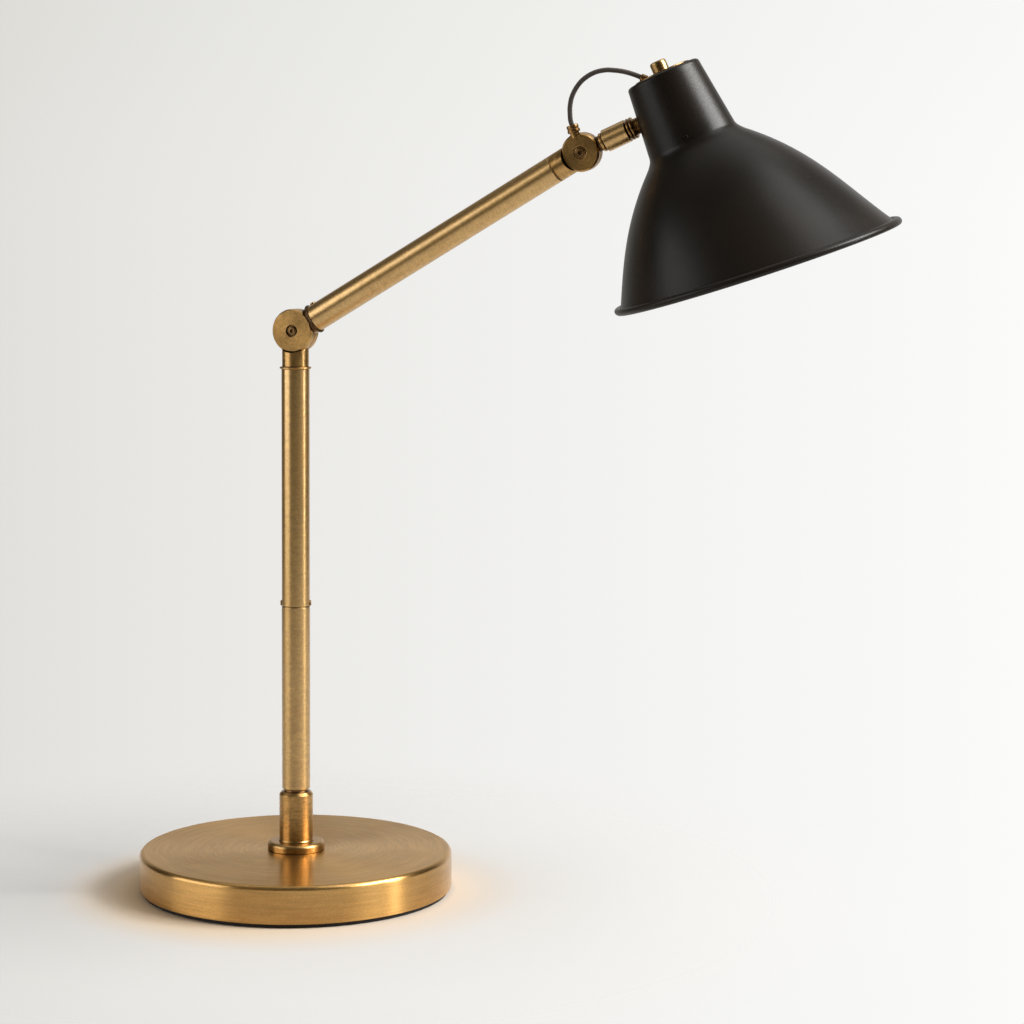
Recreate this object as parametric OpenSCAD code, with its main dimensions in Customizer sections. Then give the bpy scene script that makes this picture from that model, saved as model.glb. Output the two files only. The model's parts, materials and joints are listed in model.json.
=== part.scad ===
// Swing arm desk lamp: weighted disc base, turning post, hinged arm and a tilting spun shade.
// Frame: origin on the floor under the post, +Z up, the arm swings in the XZ plane towards +X.
// Both hinge pins lie along Y. The lamp stands at its working pose.

/* [Base] */
// Diameter of the base disc
base_d = 180; // [170:1:200]
// Height of the metal base above its pad
base_h = 21.2; // [20:0.2:24]
// Thickness of the pad under the base
pad_h = 2.3; // [1.5:0.1:3]
// Thickness of the spun base cover
cover_t = 1.2; // [1:0.1:1.6]
// Radius of the cover's top edge
cover_edge_r = 3; // [2:0.5:4]

/* [Post] */
// Outer radius of the upper post tube
post_r = 8; // [7.9:0.05:8.1]
// Height of the elbow pin above the floor
elbow_z = 323; // [300:1:360]
// Height of the joint between the two post tubes
seam_z = 165.5; // [120:0.5:220]
// Radius of the collar that the post turns in
collar_r = 9.65; // [9.4:0.05:10]
// Height of the collar's top edge
collar_top = 57.5; // [52:0.5:70]

/* [Arm] */
// Distance from the elbow pin to the wrist pin
arm_len = 197.4; // [170:0.2:240]
// Angle of the arm above the horizontal
arm_angle = 30.5; // [20:0.5:45]
// Outer radius of the arm tube
arm_r = 7.7; // [7.6:0.05:7.8]
// Turn of the head about the arm's axis
head_roll = 6.6; // [0:0.2:12]

/* [Head] */
// Angle of the stem above the horizontal
stem_angle = 24; // [18:0.5:30]
// Distance from the wrist pin to the shade's axis
shade_reach = 58; // [57:0.2:60]
// Height of the cup's top above the stem's axis
cup_rise = 19.6; // [17:0.1:21]
// Radius of the cup at its top
cup_top_r = 20.6; // [19:0.1:21]
// Radius of the cup at the shoulder
shoulder_r = 25.1; // [24.5:0.1:25.5]
// Height of the cup
cup_h = 41.5; // [38:0.1:43]
// Thickness of the shade's metal
shade_t = 1; // [0.8:0.1:1.2]
// Depth from the shoulder to the rim, along the axis
dome_h = 72.4; // [68:0.2:76]
// Slant of the rim from square to the shade's axis
rim_slant = 6.35; // [0:0.05:8]
// Radius of the wire that the rim is rolled around
bead_r = 2.1; // [1.8:0.1:2.4]

/* [Hidden] */

$fn = 96;
eps = 0.01;

// Running clearance of a pin or spigot, on the radius
run_gap = 0.05;
// Gap between the two halves of a knuckle
half_gap = 0.35;
// Clearance that a knuckle disc swings in
swing_gap = 0.4;

base_r = base_d / 2;
base_top = pad_h + base_h;
flange_r = 16.4;
flange_h = 5;
flange_edge_r = 2.2;
flange_top = base_top + flange_h;

// Spigot, collar and the threaded stub that clamps the base together
spigot_r = 7.15;
spigot_floor = 36;
spigot_top = 80;
spigot_bore_r = 2.4;
spigot_washer_t = 1;
tail_r = 4.3;
tail_bottom = 3.1;
clip_z = 4.05;
clip_t = 0.8;
stub_r = 8;
stub_bottom = 5;
recess_r = 19;
recess_top = 12.5;
washer_t = 1.5;
collar_chamfer = 1.6;
neck_gap_top = 59.3;

// Cable inlet in the rear of the base, with its grommet
inlet_z = 8.6;
inlet_r = 3.1;
grommet_r = inlet_r + 1.8;
channel_w = 10.6;

tube_t = 0.95;
lower_r = post_r + 0.1;
bore_r = post_r - tube_t;
plug_fit = 0.05;
seam_gap = 0.4;
ring_z = elbow_z - 21;
ring_t = 1.2;
ring_r = 9.05;
neck_r = 7.6;

// Coupler inside the post's joint, and its two screws
coupler_reach = 16;
coupler_bore_r = 5.4;
coupler_turn = 20;
coupler_screw_z = seam_z + 1.6;
screw_r = 1.15;
screw_head_r = 1.6;

// Elbow and wrist knuckles: disc radius and depth from face to face
elbow_r = 12.35;
elbow_depth = 11;
wrist_r = 10.55;
wrist_depth = 10;
pin_r = 2;
chamber_r = 6;
head_recess_r = 3.45;
head_recess_depth = 1.5;
wire_r = 1.45;
wire_y = half_gap + wire_r + 0.2;
nut_r = 3.1;

arm_bore_r = arm_r - 1;
arm_start = 14.3;
arm_ring_r = 8.7;
arm_screw_x = 17;
wrist_collar = 17.5;
collar_gap = 0.35;
bush_len = 16;
swivel_r = 5.2;
swivel_bore_r = 4.5;

stem_r = 6.2;
stem_collar_r = 5.2;
core_r = 4.25;
core_end = 28.2;
stud_r = 4.6;
stud_end = 41.5;
lock_ring_t = 1.2;
lock_ring_starts = [29.1, 31];

gland_angle = 108;
gland_foot = 11.2;
gland_step = 13.4;
gland_reach = 15.5;
gland_y = -2.7;

cord_r = 1.35;
// Route of the lamp cord from the gland to the ferrule, from the wrist pin, before the head's turn
cord_route = [
    [-4.8, -2.7, 14.8], [-5.5, -2.6, 17.0], [-5.8, -2.4, 20.0], [-5.8, -2.2, 24.3],
    [-4.8, -1.9, 29.4], [-2.2, -1.7, 34.5], [1.7, -1.4, 38.9], [7.4, -1.2, 42.3],
    [13.6, -0.9, 43.7], [19.0, -0.7, 43.5], [24.2, -0.4, 42.7], [29.4, -0.2, 41.2],
    [33.25, 0, 39.65]
];

// Ferrule on the cap: foot on the cap's face and the tilt of its barrel
cap_r = 15.6;
cap_t = 0.8;
ferrule_x = -9.2;
ferrule_tilt = 45;
ferrule_len = 3.2;

// Outline of the dome from the shoulder down: its end and the slopes and handles of its curve
dome_end_r = 85.1;
dome_len = 87.4;
dome_start_slope = 1.17;
dome_end_slope = 0.66;
dome_handle = 29.8;
dome_end_handle = 29;
dome_steps = 22;
dome_start = [shoulder_r, -cup_h];
dome_end = [dome_end_r, -cup_h - dome_len];
dome_curve = [
    dome_start,
    dome_start + dome_handle * [dome_start_slope, -1],
    dome_end - dome_end_handle * [dome_end_slope, -1],
    dome_end
];
cup_edge_r = 2;
cup_slope = atan((shoulder_r - cup_top_r) / cup_h);

// Small screw in the front of the cup: its depth below the cup's top and its turn around the axis
shade_screw_depth = 36.5;
shade_screw_turn = -82;

holder_r = 13;
holder_top = -21;
holder_bottom = -47;
switch_r = 11.2;
switch_bottom = -15;

bulb_r = 22.5;
bulb_z = -79;
bulb_neck_r = 8;
bulb_neck_z = -55;

knob_r = 4.5;
knob_gap = 0.4;
knob_top = 7.1;
spindle_r = 1.52;
spindle_top = 5.2;

brass = "#b58b4a";
black = "#1d1a18";
steel = "#9a9a98";
iron = "#4b4b4d";

arm_dir = [cos(arm_angle), 0, sin(arm_angle)];
wrist_pos = [arm_len * cos(arm_angle), 0, elbow_z + arm_len * sin(arm_angle)];

// ---------------------------------------------------------------- places

module at_elbow() {
    translate([0, 0, elbow_z]) children();
}

// X runs along the arm from the elbow pin
module along_arm() {
    at_elbow() rotate([0, -arm_angle, 0]) children();
}

// The wrist pin, with the head's turn about the arm
module at_wrist() {
    translate(wrist_pos) rotate(a = head_roll, v = arm_dir) children();
}

// X runs along the arm, from the wrist pin outwards
module wrist_frame() {
    at_wrist() rotate([0, -arm_angle, 0]) children();
}

// X runs along the stem from the wrist pin, Z along the shade's axis
module stem_frame() {
    at_wrist() rotate([0, -stem_angle, 0]) children();
}

// Origin at the centre of the cup's top face
module shade_frame() {
    stem_frame() translate([shade_reach, 0, cup_rise]) children();
}

// Turns Z to point along X
module to_x() {
    rotate([0, 90, 0]) children();
}

// Turns Z to point to the front, along -Y
module to_front() {
    rotate([90, 0, 0]) children();
}

// ---------------------------------------------------------------- shapes

module rod(r, z0, z1) {
    translate([0, 0, z0]) cylinder(r = r, h = z1 - z0);
}

module pipe(r, bore, z0, z1) {
    difference() {
        rod(r, z0, z1);
        rod(bore, z0 - 1, z1 + 1);
    }
}

// Disc with chamfered edges, bottom at z0 and top at z1
module chamfered(r, z0, z1, low, high) {
    rotate_extrude() polygon([
        [0, z0], [r - low, z0], [r, z0 + low], [r, z1 - high], [r - high, z1], [0, z1]
    ]);
}

// Points of a quarter arc from angle a to angle b
function arc(cx, cy, r, a, b, n) = [for (i = [0 : n]) [
    cx + r * cos(a + (b - a) * i / n),
    cy + r * sin(a + (b - a) * i / n)
]];

// Disc whose top edge is rounded
module rounded_disc(r, z0, z1, edge) {
    rotate_extrude() polygon(concat(
        [[0, z0], [r, z0]],
        arc(r - edge, z1 - edge, edge, 0, 90, 6),
        [[0, z1]]
    ));
}

module hexagon(r, z0, z1) {
    translate([0, 0, z0]) cylinder(r = r, h = z1 - z0, $fn = 6);
}

module pin_head(r, z0, z1, socket_r) {
    difference() {
        chamfered(r, z0, z1, 0, 0.35);
        hexagon(socket_r, z1 - 0.9, z1 + 1);
    }
}

// Front half of a knuckle: a half-depth disc with a round neck along X that follows the disc's outline
module knuckle(disc_r, depth, neck, neck_len) {
    face = depth / 2;
    recess_face = face - head_recess_depth;
    difference() {
        union() {
            to_front() chamfered(disc_r, half_gap, face, 0.2, 0.7);
            difference() {
                to_x() rod(neck, 0, neck_len);
                to_front() rod(disc_r + swing_gap, -20, half_gap);
                to_front() rod(disc_r, face, 20);
            }
        }
        to_front() rod(pin_r + run_gap, -1, face + 1);
        to_front() rod(chamber_r, -1, recess_face - 0.7);
        to_front() rod(head_recess_r, recess_face, face + 1);
        translate([0, -wire_y, 0]) to_x() rod(wire_r, 3, neck_len + 1);
    }
}

// The same knuckle facing the rear
module rear_knuckle(disc_r, depth, neck, neck_len) {
    mirror([0, 1, 0]) knuckle(disc_r, depth, neck, neck_len);
}

// Pivot bolt: a head in the front recess and a shank through both halves
module pivot_bolt(depth, head_r) {
    face = depth / 2;
    seat = face - head_recess_depth + 0.05;
    to_front() {
        rod(pin_r, -face - 0.5, seat);
        pin_head(head_r, seat, face - 0.1, 1.3);
    }
}

// Nut in the rear recess, threaded on the bolt
module pivot_nut(depth) {
    outer_z = -depth / 2 - 0.7;
    inner_z = 1.35 - depth / 2;
    to_front() difference() {
        intersection() {
            hexagon(nut_r, outer_z, inner_z);
            chamfered(nut_r - 0.1, outer_z, inner_z, 0.4, 0.1);
        }
        rod(pin_r, outer_z - 1, inner_z + 1);
    }
}

module pivot_washer(r) {
    to_front() pipe(r - 1.2, chamber_r + 0.3, 0.1 - half_gap, half_gap);
}

// ---------------------------------------------------------------- base

module base_pad() {
    color("#181716") rod(base_r - 1.6, 0, pad_h);
}

module base_weight() {
    color(iron) difference() {
        chamfered(base_r - cover_t - 0.3, pad_h, base_top - cover_t - 0.05, 0, 2);
        rod(stub_r + 0.2, 0, base_top + 1);
        rod(recess_r, 0, recess_top);
        // channel for the mains cable
        translate([-channel_w / 2, 0, 0]) cube([channel_w, base_r, inlet_z + 6]);
    }
}

module base_cover() {
    inner_r = base_r - cover_t;
    inner_top = base_top - cover_t;
    inner_edge = cover_edge_r - cover_t;
    color(brass) difference() {
        rotate_extrude() polygon(concat(
            [[base_r - 0.6, pad_h], [base_r, pad_h + 0.6]],
            arc(base_r - cover_edge_r, base_top - cover_edge_r, cover_edge_r, 0, 90, 8),
            [[stub_r + 0.2, base_top], [stub_r + 0.2, inner_top]],
            [for (i = [6 : -1 : 0]) [
                inner_r - inner_edge + inner_edge * cos(i * 15),
                inner_top - inner_edge + inner_edge * sin(i * 15)
            ]],
            [[inner_r, pad_h]]
        ));
        translate([0, 0, inlet_z]) rotate([-90, 0, 0]) rod(grommet_r + 0.1, base_r - 10, base_r + 5);
    }
}

module base_flange() {
    color(brass) difference() {
        rounded_disc(flange_r, base_top, flange_top, flange_edge_r);
        rod(stub_r + 0.1, 0, flange_top + 1);
    }
}

// Sleeve that the post turns in, with the stub that passes down through the base
module base_collar() {
    foot = flange_top;
    color(brass) difference() {
        union() {
            rotate_extrude() polygon([
                [0, foot], [collar_r + 0.3, foot], [collar_r, foot + 0.8],
                [collar_r, collar_top - collar_chamfer], [collar_r - collar_chamfer + 0.2, collar_top],
                [0, collar_top]
            ]);
            rod(stub_r, stub_bottom, foot + eps);
        }
        rod(spigot_r + run_gap, spigot_floor, collar_top + 1);
        rod(tail_r + 0.4, 0, spigot_floor + 1);
    }
}

module base_washer() {
    color(steel) pipe(15, stub_r + 0.2, recess_top - washer_t, recess_top);
}

module base_nut() {
    low = stub_bottom + 0.4;
    high = recess_top - washer_t;
    color(steel) difference() {
        intersection() {
            hexagon(14, low, high);
            chamfered(13.6, low, high, 1, 0.3);
        }
        rod(stub_r + 0.02, 0, recess_top);
    }
}

// Grommet that lines the cable inlet in the rear of the base
module cable_bush() {
    wall_y = base_r - cover_t;
    color("#141414") translate([0, 0, inlet_z]) rotate([-90, 0, 0]) difference() {
        union() {
            rod(grommet_r, wall_y - 1.6, base_r + 0.1);
            chamfered(grommet_r + 0.9, base_r + 0.05, base_r + 2.2, 0, 0.7);
        }
        rod(inlet_r, base_r - 10, base_r + 5);
    }
}

module swivel_washer() {
    color("#d9d4c4") pipe(spigot_r - 0.3, tail_r + 0.5, spigot_floor, spigot_floor + spigot_washer_t);
}

// ---------------------------------------------------------------- post

module post_spigot() {
    foot = spigot_floor + spigot_washer_t + 0.05;
    groove = clip_t / 2 + 0.05;
    color(brass) difference() {
        union() {
            rod(spigot_r, foot, neck_gap_top);
            rod(bore_r - plug_fit, neck_gap_top - eps, spigot_top);
            rod(tail_r, tail_bottom, foot + eps);
        }
        rod(spigot_bore_r, 0, spigot_top + 1);
        // groove for the clip
        pipe(tail_r + 1, tail_r - 0.7, clip_z - groove, clip_z + groove);
    }
}

module spigot_clip() {
    color(steel) difference() {
        rod(6.6, clip_z - clip_t / 2, clip_z + clip_t / 2);
        rod(tail_r - 0.65, clip_z - clip_t, clip_z + clip_t);
        translate([-1.5, 0, clip_z - clip_t]) cube([3, 10, 2 * clip_t]);
    }
}

module lower_post_tube() {
    color(brass) pipe(lower_r, bore_r, neck_gap_top, seam_z - seam_gap / 2);
}

module post_coupler() {
    color(brass) difference() {
        pipe(bore_r - plug_fit, coupler_bore_r, seam_z - coupler_reach, seam_z + coupler_reach);
        at_coupler_screws() rod(screw_r + 0.05, 4, 12);
    }
}

// Z points outwards from the post's axis at each of the two screws
module at_coupler_screws() {
    for (side = [0, 180])
        translate([0, 0, coupler_screw_z]) rotate([0, 90, coupler_turn + side]) children();
}

module coupler_screws() {
    color(brass) at_coupler_screws() {
        rod(screw_r, 5.5, post_r - 0.5);
        chamfered(screw_head_r, post_r - 0.5, post_r + 0.8, 0, 0.35);
    }
}

module upper_post_tube() {
    color(brass) difference() {
        pipe(post_r, bore_r, seam_z + seam_gap / 2, ring_z - ring_t / 2);
        at_coupler_screws() rod(screw_head_r + 0.05, 6, 12);
    }
}

module neck_ring() {
    color(brass) difference() {
        chamfered(ring_r, ring_z - ring_t / 2, ring_z + ring_t / 2, 0.3, 0.3);
        rod(bore_r, 0, elbow_z);
    }
}

// Lower half of the elbow, with the neck that plugs into the post
module elbow_lower_knuckle() {
    neck_len = elbow_z - ring_z - ring_t / 2;
    plug_len = neck_len + 22;
    color(brass) at_elbow() {
        rotate([0, 90, 0]) knuckle(elbow_r, elbow_depth, neck_r, neck_len);
        difference() {
            rod(bore_r - plug_fit, -plug_len, eps - neck_len);
            translate([0, -wire_y, 0]) rod(wire_r, -plug_len - 1, 0);
        }
    }
}

module elbow_washer() {
    color("#26221c") at_elbow() pivot_washer(elbow_r);
}

module elbow_bolt() {
    color("#6b5026") at_elbow() pivot_bolt(elbow_depth, 2.5);
}

module elbow_nut() {
    color("#6b5026") at_elbow() pivot_nut(elbow_depth);
}

// ---------------------------------------------------------------- arm

module elbow_upper_knuckle() {
    plug_len = 36;
    neck_end = elbow_r + swing_gap + 0.15;
    color(brass) along_arm() {
        difference() {
            union() {
                rear_knuckle(elbow_r, elbow_depth, neck_r, neck_end);
                to_x() rod(arm_bore_r - plug_fit, neck_end - eps, plug_len);
            }
            translate([0, wire_y, 0]) to_x() rod(wire_r, 3, plug_len + 1);
            translate([arm_screw_x, 0, 0]) rod(screw_r + 0.05, 4, 12);
        }
    }
}

module arm_ring() {
    start = elbow_r + swing_gap + 0.2;
    color(brass) along_arm() to_x() difference() {
        chamfered(arm_ring_r, start, arm_start, 0.5, 0.5);
        rod(arm_bore_r, 0, 40);
    }
}

module arm_grub_screw() {
    color(brass) along_arm() translate([arm_screw_x, 0, 0]) {
        rod(screw_r, 5, arm_r - 0.4);
        chamfered(screw_head_r - 0.1, arm_r - 0.4, arm_r + 0.9, 0, 0.4);
    }
}

module arm_tube() {
    color(brass) along_arm() difference() {
        to_x() pipe(arm_r, arm_bore_r, arm_start + 0.05, arm_len - wrist_collar - collar_gap);
        translate([arm_screw_x, 0, 0]) rod(screw_head_r - 0.05, 5, 12);
    }
}

// Plastic bush in the arm's end that the wrist turns in
module swivel_bush() {
    bush_end = arm_len - wrist_collar - collar_gap - 0.05;
    color("#d9d4c4") along_arm() to_x() pipe(arm_bore_r - 0.03, swivel_r, bush_end - bush_len, bush_end);
}

// ---------------------------------------------------------------- wrist

// Arm half of the wrist, with the collar and spigot that turn in the arm's end
module wrist_arm_knuckle() {
    spigot_end = wrist_collar + bush_len + 3;
    color(brass) wrist_frame() difference() {
        union() {
            mirror([1, 0, 0]) knuckle(wrist_r, wrist_depth, arm_r, wrist_collar);
            to_x() rod(swivel_r - run_gap, -spigot_end, eps - wrist_collar);
            gland_place() rod(1.9, 8.5, gland_foot);
        }
        translate([0, -wire_y, 0]) to_x() rod(wire_r, -spigot_end - 1, -3);
        gland_place() rod(wire_r, 3, 20);
        to_x() pipe(6, swivel_bore_r, -spigot_end + 0.9, -spigot_end + 1.9);
    }
}

module swivel_clip() {
    clip_x = wrist_collar + bush_len + 1.6;
    color(steel) wrist_frame() to_x() difference() {
        rod(6.2, -clip_x - 0.45, -clip_x + 0.45);
        rod(swivel_bore_r + 0.02, -clip_x - 1, -clip_x + 1);
        translate([-1.3, 0, -clip_x - 1]) cube([2.6, 8, 2]);
    }
}

// Z runs along the gland's axis from the wrist pin
module gland_place() {
    translate([0, gland_y, 0]) rotate([0, 90 - gland_angle + arm_angle, 0]) children();
}

module cord_gland() {
    color(brass) wrist_frame() gland_place() difference() {
        union() {
            chamfered(3.5, gland_foot, gland_step - 0.4, 0.3, 0.3);
            rod(2.6, gland_step - 0.4 - eps, gland_step);
        }
        rod(cord_r + 0.1, 0, 30);
    }
}

module gland_nut() {
    color(brass) wrist_frame() gland_place() difference() {
        chamfered(3.3, gland_step, gland_reach, 0.3, 0.6);
        rod(cord_r + 0.1, 0, gland_reach - 1.2);
        rod(cord_r - 0.3, 0, 30);
    }
}

module wrist_washer() {
    color("#26221c") at_wrist() pivot_washer(wrist_r);
}

module wrist_bolt() {
    color("#8a6a36") at_wrist() pivot_bolt(wrist_depth, 3.15);
}

module wrist_nut() {
    color("#8a6a36") at_wrist() pivot_nut(wrist_depth);
}

function unit(v) = v / norm(v);
function direction(p, i) = unit(p[min(i + 1, len(p) - 1)] - p[max(i - 1, 0)]);

// One ring of the cord's tube: corners around a point, square to its direction
function ring_points(c, d, r, n) =
    let (side = unit(cross(d, [0, 1, 0])), up = cross(side, d))
    [for (k = [0 : n - 1]) c + r * cos(360 * k / n) * side + r * sin(360 * k / n) * up];

// Tube along a route, one ring at each of its points
module swept_tube(route, r, n) {
    count = len(route);
    points = [for (i = [0 : count - 1]) each ring_points(route[i], direction(route, i), r, n)];
    walls = [for (i = [0 : count - 2]) for (k = [0 : n - 1])
        let (a = i * n + k, b = i * n + (k + 1) % n)
        each [[a, b, b + n], [a, b + n, a + n]]];
    first = [for (k = [n - 1 : -1 : 0]) k];
    last = [for (k = [0 : n - 1]) (count - 1) * n + k];
    polyhedron(points, concat([first], walls, [last]));
}

module lamp_cord() {
    color("#2a211c") at_wrist() swept_tube(cord_route, cord_r, 8);
}

// ---------------------------------------------------------------- head

// Head half of the wrist, with the core of the stem
module wrist_head_knuckle() {
    color(brass) stem_frame() difference() {
        union() {
            rear_knuckle(wrist_r, wrist_depth, core_r, wrist_r + swing_gap + 1);
            to_x() rod(core_r, wrist_r + swing_gap, core_end);
        }
        translate([0, wire_y, 0]) to_x() rod(wire_r, 3, core_end + 1);
        to_x() rod(3, 18, core_end + 1);
    }
}

module stem_collar() {
    color(brass) stem_frame() to_x() difference() {
        chamfered(stem_collar_r, 12.1, 13.8, 0.3, 0.3);
        rod(core_r + plug_fit, 0, core_end);
    }
}

module stem_sleeve() {
    color(brass) stem_frame() to_x() difference() {
        chamfered(stem_r, 14.5, core_end, 0.25, 0.25);
        rod(core_r + plug_fit, 0, core_end + 1);
    }
}

// Two thin nuts that lock the stem against the cup
module stem_lock_rings() {
    color(brass) stem_frame() to_x()
        for (start = lock_ring_starts)
            difference() {
                chamfered(stem_r - 0.2, start, start + lock_ring_t, 0.3, 0.3);
                rod(stud_r, start - 1, start + 5);
            }
}

// Threaded stud through the cup's wall, screwed into the stem's core
module stem_stud() {
    color("#9b7438") stem_frame() to_x() {
        rod(2.95, 19, core_end + 0.1);
        rod(stud_r - 0.03, core_end + 0.1, stud_end);
    }
}

module stem_nut() {
    color(steel) stem_frame() to_x() difference() {
        hexagon(6.6, stud_end - 3.2, stud_end - 0.6);
        rod(stud_r - 0.02, stud_end - 5, stud_end + 1);
    }
}

// Outline of the dome from shoulder to rim, as a curve through four control points
function bezier(p, t) =
    pow(1 - t, 3) * p[0] + 3 * pow(1 - t, 2) * t * p[1] + 3 * (1 - t) * t * t * p[2] + pow(t, 3) * p[3];

function dome_point(i) = bezier(dome_curve, i / dome_steps);
function dome_normal(i) =
    let (t = unit(dome_point(min(i + 1, dome_steps)) - dome_point(max(i - 1, 0)))) [-t[1], t[0]];

// Depth of the rim's plane at a distance x from the shade's axis
function rim_z(x) = -cup_h - dome_h - tan(rim_slant) * x;

module shade_outline() {
    hole_r = 5.1;
    outer = concat(
        [[hole_r, 0]],
        arc(cup_top_r - cup_edge_r, -cup_edge_r, cup_edge_r, 90, cup_slope, 5),
        [for (i = [0 : dome_steps]) dome_point(i)]
    );
    inner = concat(
        [for (i = [dome_steps : -1 : 1]) dome_point(i) - shade_t * dome_normal(i)],
        [
            [shoulder_r - shade_t, -cup_h - 0.3],
            [cup_top_r - shade_t, -shade_t - 1],
            [cup_top_r - shade_t - 1, -shade_t],
            [hole_r, -shade_t]
        ]
    );
    polygon(concat(outer, inner));
}

module shade() {
    color(black) shade_frame() difference() {
        rotate_extrude() shade_outline();
        // the slanted rim
        translate([0, 0, rim_z(0)]) rotate([0, rim_slant, 0]) rod(150, -60, 0);
        // hole for the stem's stud
        translate([-shade_reach, 0, -cup_rise]) to_x() rod(stud_r + 0.05, 20, 50);
        // hole for the cord
        translate([ferrule_x, 0, 0]) rod(2.2, -5, 5);
        // hole for the lampholder's screw
        screw_place() rod(0.75, -4, 4);
    }
}

// Step of the dome's outline that holds the height z
function step_at(z, i) = (i >= dome_steps - 1 || dome_point(i + 1)[1] < z) ? i : step_at(z, i + 1);

// Radius of the dome's outside at the height z
function dome_r_at(z) =
    let (i = step_at(z, 0), a = dome_point(i), b = dome_point(i + 1))
    a[0] + (b[0] - a[0]) * (a[1] - z) / (a[1] - b[1]);

// Radius where the rim's plane meets the dome, at an angle around the axis, found in n rounds
function rim_r(angle, r, n) = n == 0 ? r : rim_r(angle, dome_r_at(rim_z(r * cos(angle))), n - 1);

// Rolled rim around the open end
module rim_bead() {
    count = 96;
    sides = 10;
    out = 1.2;
    ring = [for (i = [0 : count - 1])
        let (a = 360 * i / count, r = rim_r(a, 78, 6) + out)
        [r * cos(a), r * sin(a), rim_z((r - out) * cos(a))]];
    points = [for (i = [0 : count - 1])
        let (a = 360 * i / count, radial = [cos(a), sin(a), -tan(rim_slant) * cos(a)])
        for (k = [0 : sides - 1])
            ring[i] + bead_r * cos(360 * k / sides) * radial + bead_r * sin(360 * k / sides) * [0, 0, 1]];
    faces = [for (i = [0 : count - 1]) for (k = [0 : sides - 1])
        let (a = i * sides + k, b = i * sides + (k + 1) % sides,
            c = ((i + 1) % count) * sides + k, d = ((i + 1) % count) * sides + (k + 1) % sides)
        each [[a, b, d], [a, d, c]]];
    color(black) shade_frame() polyhedron(points, faces);
}

module cup_cap() {
    color(brass) shade_frame() difference() {
        rounded_disc(cap_r, 0, cap_t, 0.5);
        rod(5, -1, 5);
        translate([ferrule_x, 0, 0]) rod(2.2, -5, 5);
    }
}

// Angled barrel that the cord goes down through into the cup
module cord_ferrule() {
    color(brass) shade_frame() difference() {
        union() {
            translate([ferrule_x, 0, 0]) chamfered(2.5, cap_t, cap_t + 0.6, 0, 0.2);
            difference() {
                ferrule_place() rod(2.1, -2, ferrule_len);
                rod(cap_r, -5, cap_t);
            }
            translate([ferrule_x, 0, 0]) rod(2.1, -0.6, cap_t + 0.2);
        }
        ferrule_place() rod(cord_r + 0.05, 0.8, ferrule_len - 0.8);
        ferrule_place() rod(cord_r - 0.4, -2, ferrule_len + 1);
        translate([ferrule_x, 0, 0]) rod(cord_r - 0.4, -2, cap_t + 0.5);
    }
}

// Z runs up along the ferrule's barrel from the cap's face
module ferrule_place() {
    translate([ferrule_x, 0, cap_t]) rotate([0, -ferrule_tilt, 0]) children();
}

// Small screw in the front of the cup that holds the lampholder's bracket
module screw_place() {
    wall_r = cup_top_r + (shoulder_r - cup_top_r) * shade_screw_depth / cup_h;
    rotate([0, 0, shade_screw_turn]) translate([wall_r, 0, -shade_screw_depth])
        rotate([0, 90 - cup_slope, 0]) children();
}

module shade_screw() {
    color("#2b2826") shade_frame() screw_place() {
        rod(0.7, -3, 0.02);
        chamfered(1.1, 0.02, 0.5, 0, 0.2);
    }
}

module switch_body() {
    color("#191919") shade_frame() difference() {
        union() {
            chamfered(switch_r, switch_bottom, -shade_t - 0.2, 0.5, 0.5);
            rod(4.95, -shade_t - 0.3, cap_t);
        }
        rod(1.6, -10, 5);
        translate([ferrule_x - 2.5, -3, -20]) cube([5, 6, 30]);
    }
}

module lampholder() {
    color("#191919") shade_frame() difference() {
        union() {
            rod(9, holder_top - 1, switch_bottom);
            chamfered(holder_r, holder_bottom, holder_top, 0.8, 1.5);
            for (z = [-30, -36, -42])
                rod(holder_r + 1, z - 1, z + 1);
        }
        rod(7.2, holder_bottom - 1, -24);
    }
}

module bulb_cap() {
    color(steel) shade_frame() {
        chamfered(6.9, bulb_neck_z, -26, 0, 0.8);
        rod(3, -26.1, -24.2);
    }
}

module bulb_glass() {
    start = 90 - asin(bulb_neck_r / bulb_r);
    color("#f3ead4") shade_frame() rotate_extrude() polygon(concat(
        [[0, bulb_neck_z], [bulb_neck_r, bulb_neck_z]],
        arc(0, bulb_z, bulb_r, start, -90, 16)
    ));
}

// ---------------------------------------------------------------- knob

module switch_knob() {
    foot = cap_t + knob_gap;
    color(brass) shade_frame() difference() {
        rotate_extrude() polygon(concat(
            [[0, foot], [knob_r - 0.3, foot], [knob_r, foot + 0.3]],
            arc(knob_r - 1.3, knob_top - 1.3, 1.3, 0, 90, 5),
            [[0, knob_top]]
        ));
        rod(spindle_r + 0.03, -5, spindle_top);
    }
}

module knob_spindle() {
    color(steel) shade_frame() rod(spindle_r, -9, spindle_top);
}

// ---------------------------------------------------------------- nodes

base_pad();
base_weight();
base_cover();
base_flange();
base_collar();
base_washer();
base_nut();
cable_bush();
swivel_washer();
post_spigot();
spigot_clip();
lower_post_tube();
post_coupler();
coupler_screws();
upper_post_tube();
neck_ring();
elbow_lower_knuckle();
elbow_washer();
elbow_bolt();
elbow_nut();
elbow_upper_knuckle();
arm_ring();
arm_grub_screw();
arm_tube();
swivel_bush();
wrist_arm_knuckle();
swivel_clip();
cord_gland();
gland_nut();
wrist_washer();
wrist_bolt();
wrist_nut();
lamp_cord();
wrist_head_knuckle();
stem_collar();
stem_sleeve();
stem_lock_rings();
stem_stud();
stem_nut();
shade();
rim_bead();
cup_cap();
cord_ferrule();
shade_screw();
switch_body();
lampholder();
bulb_cap();
bulb_glass();
switch_knob();
knob_spindle();
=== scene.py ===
import json
import math

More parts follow.
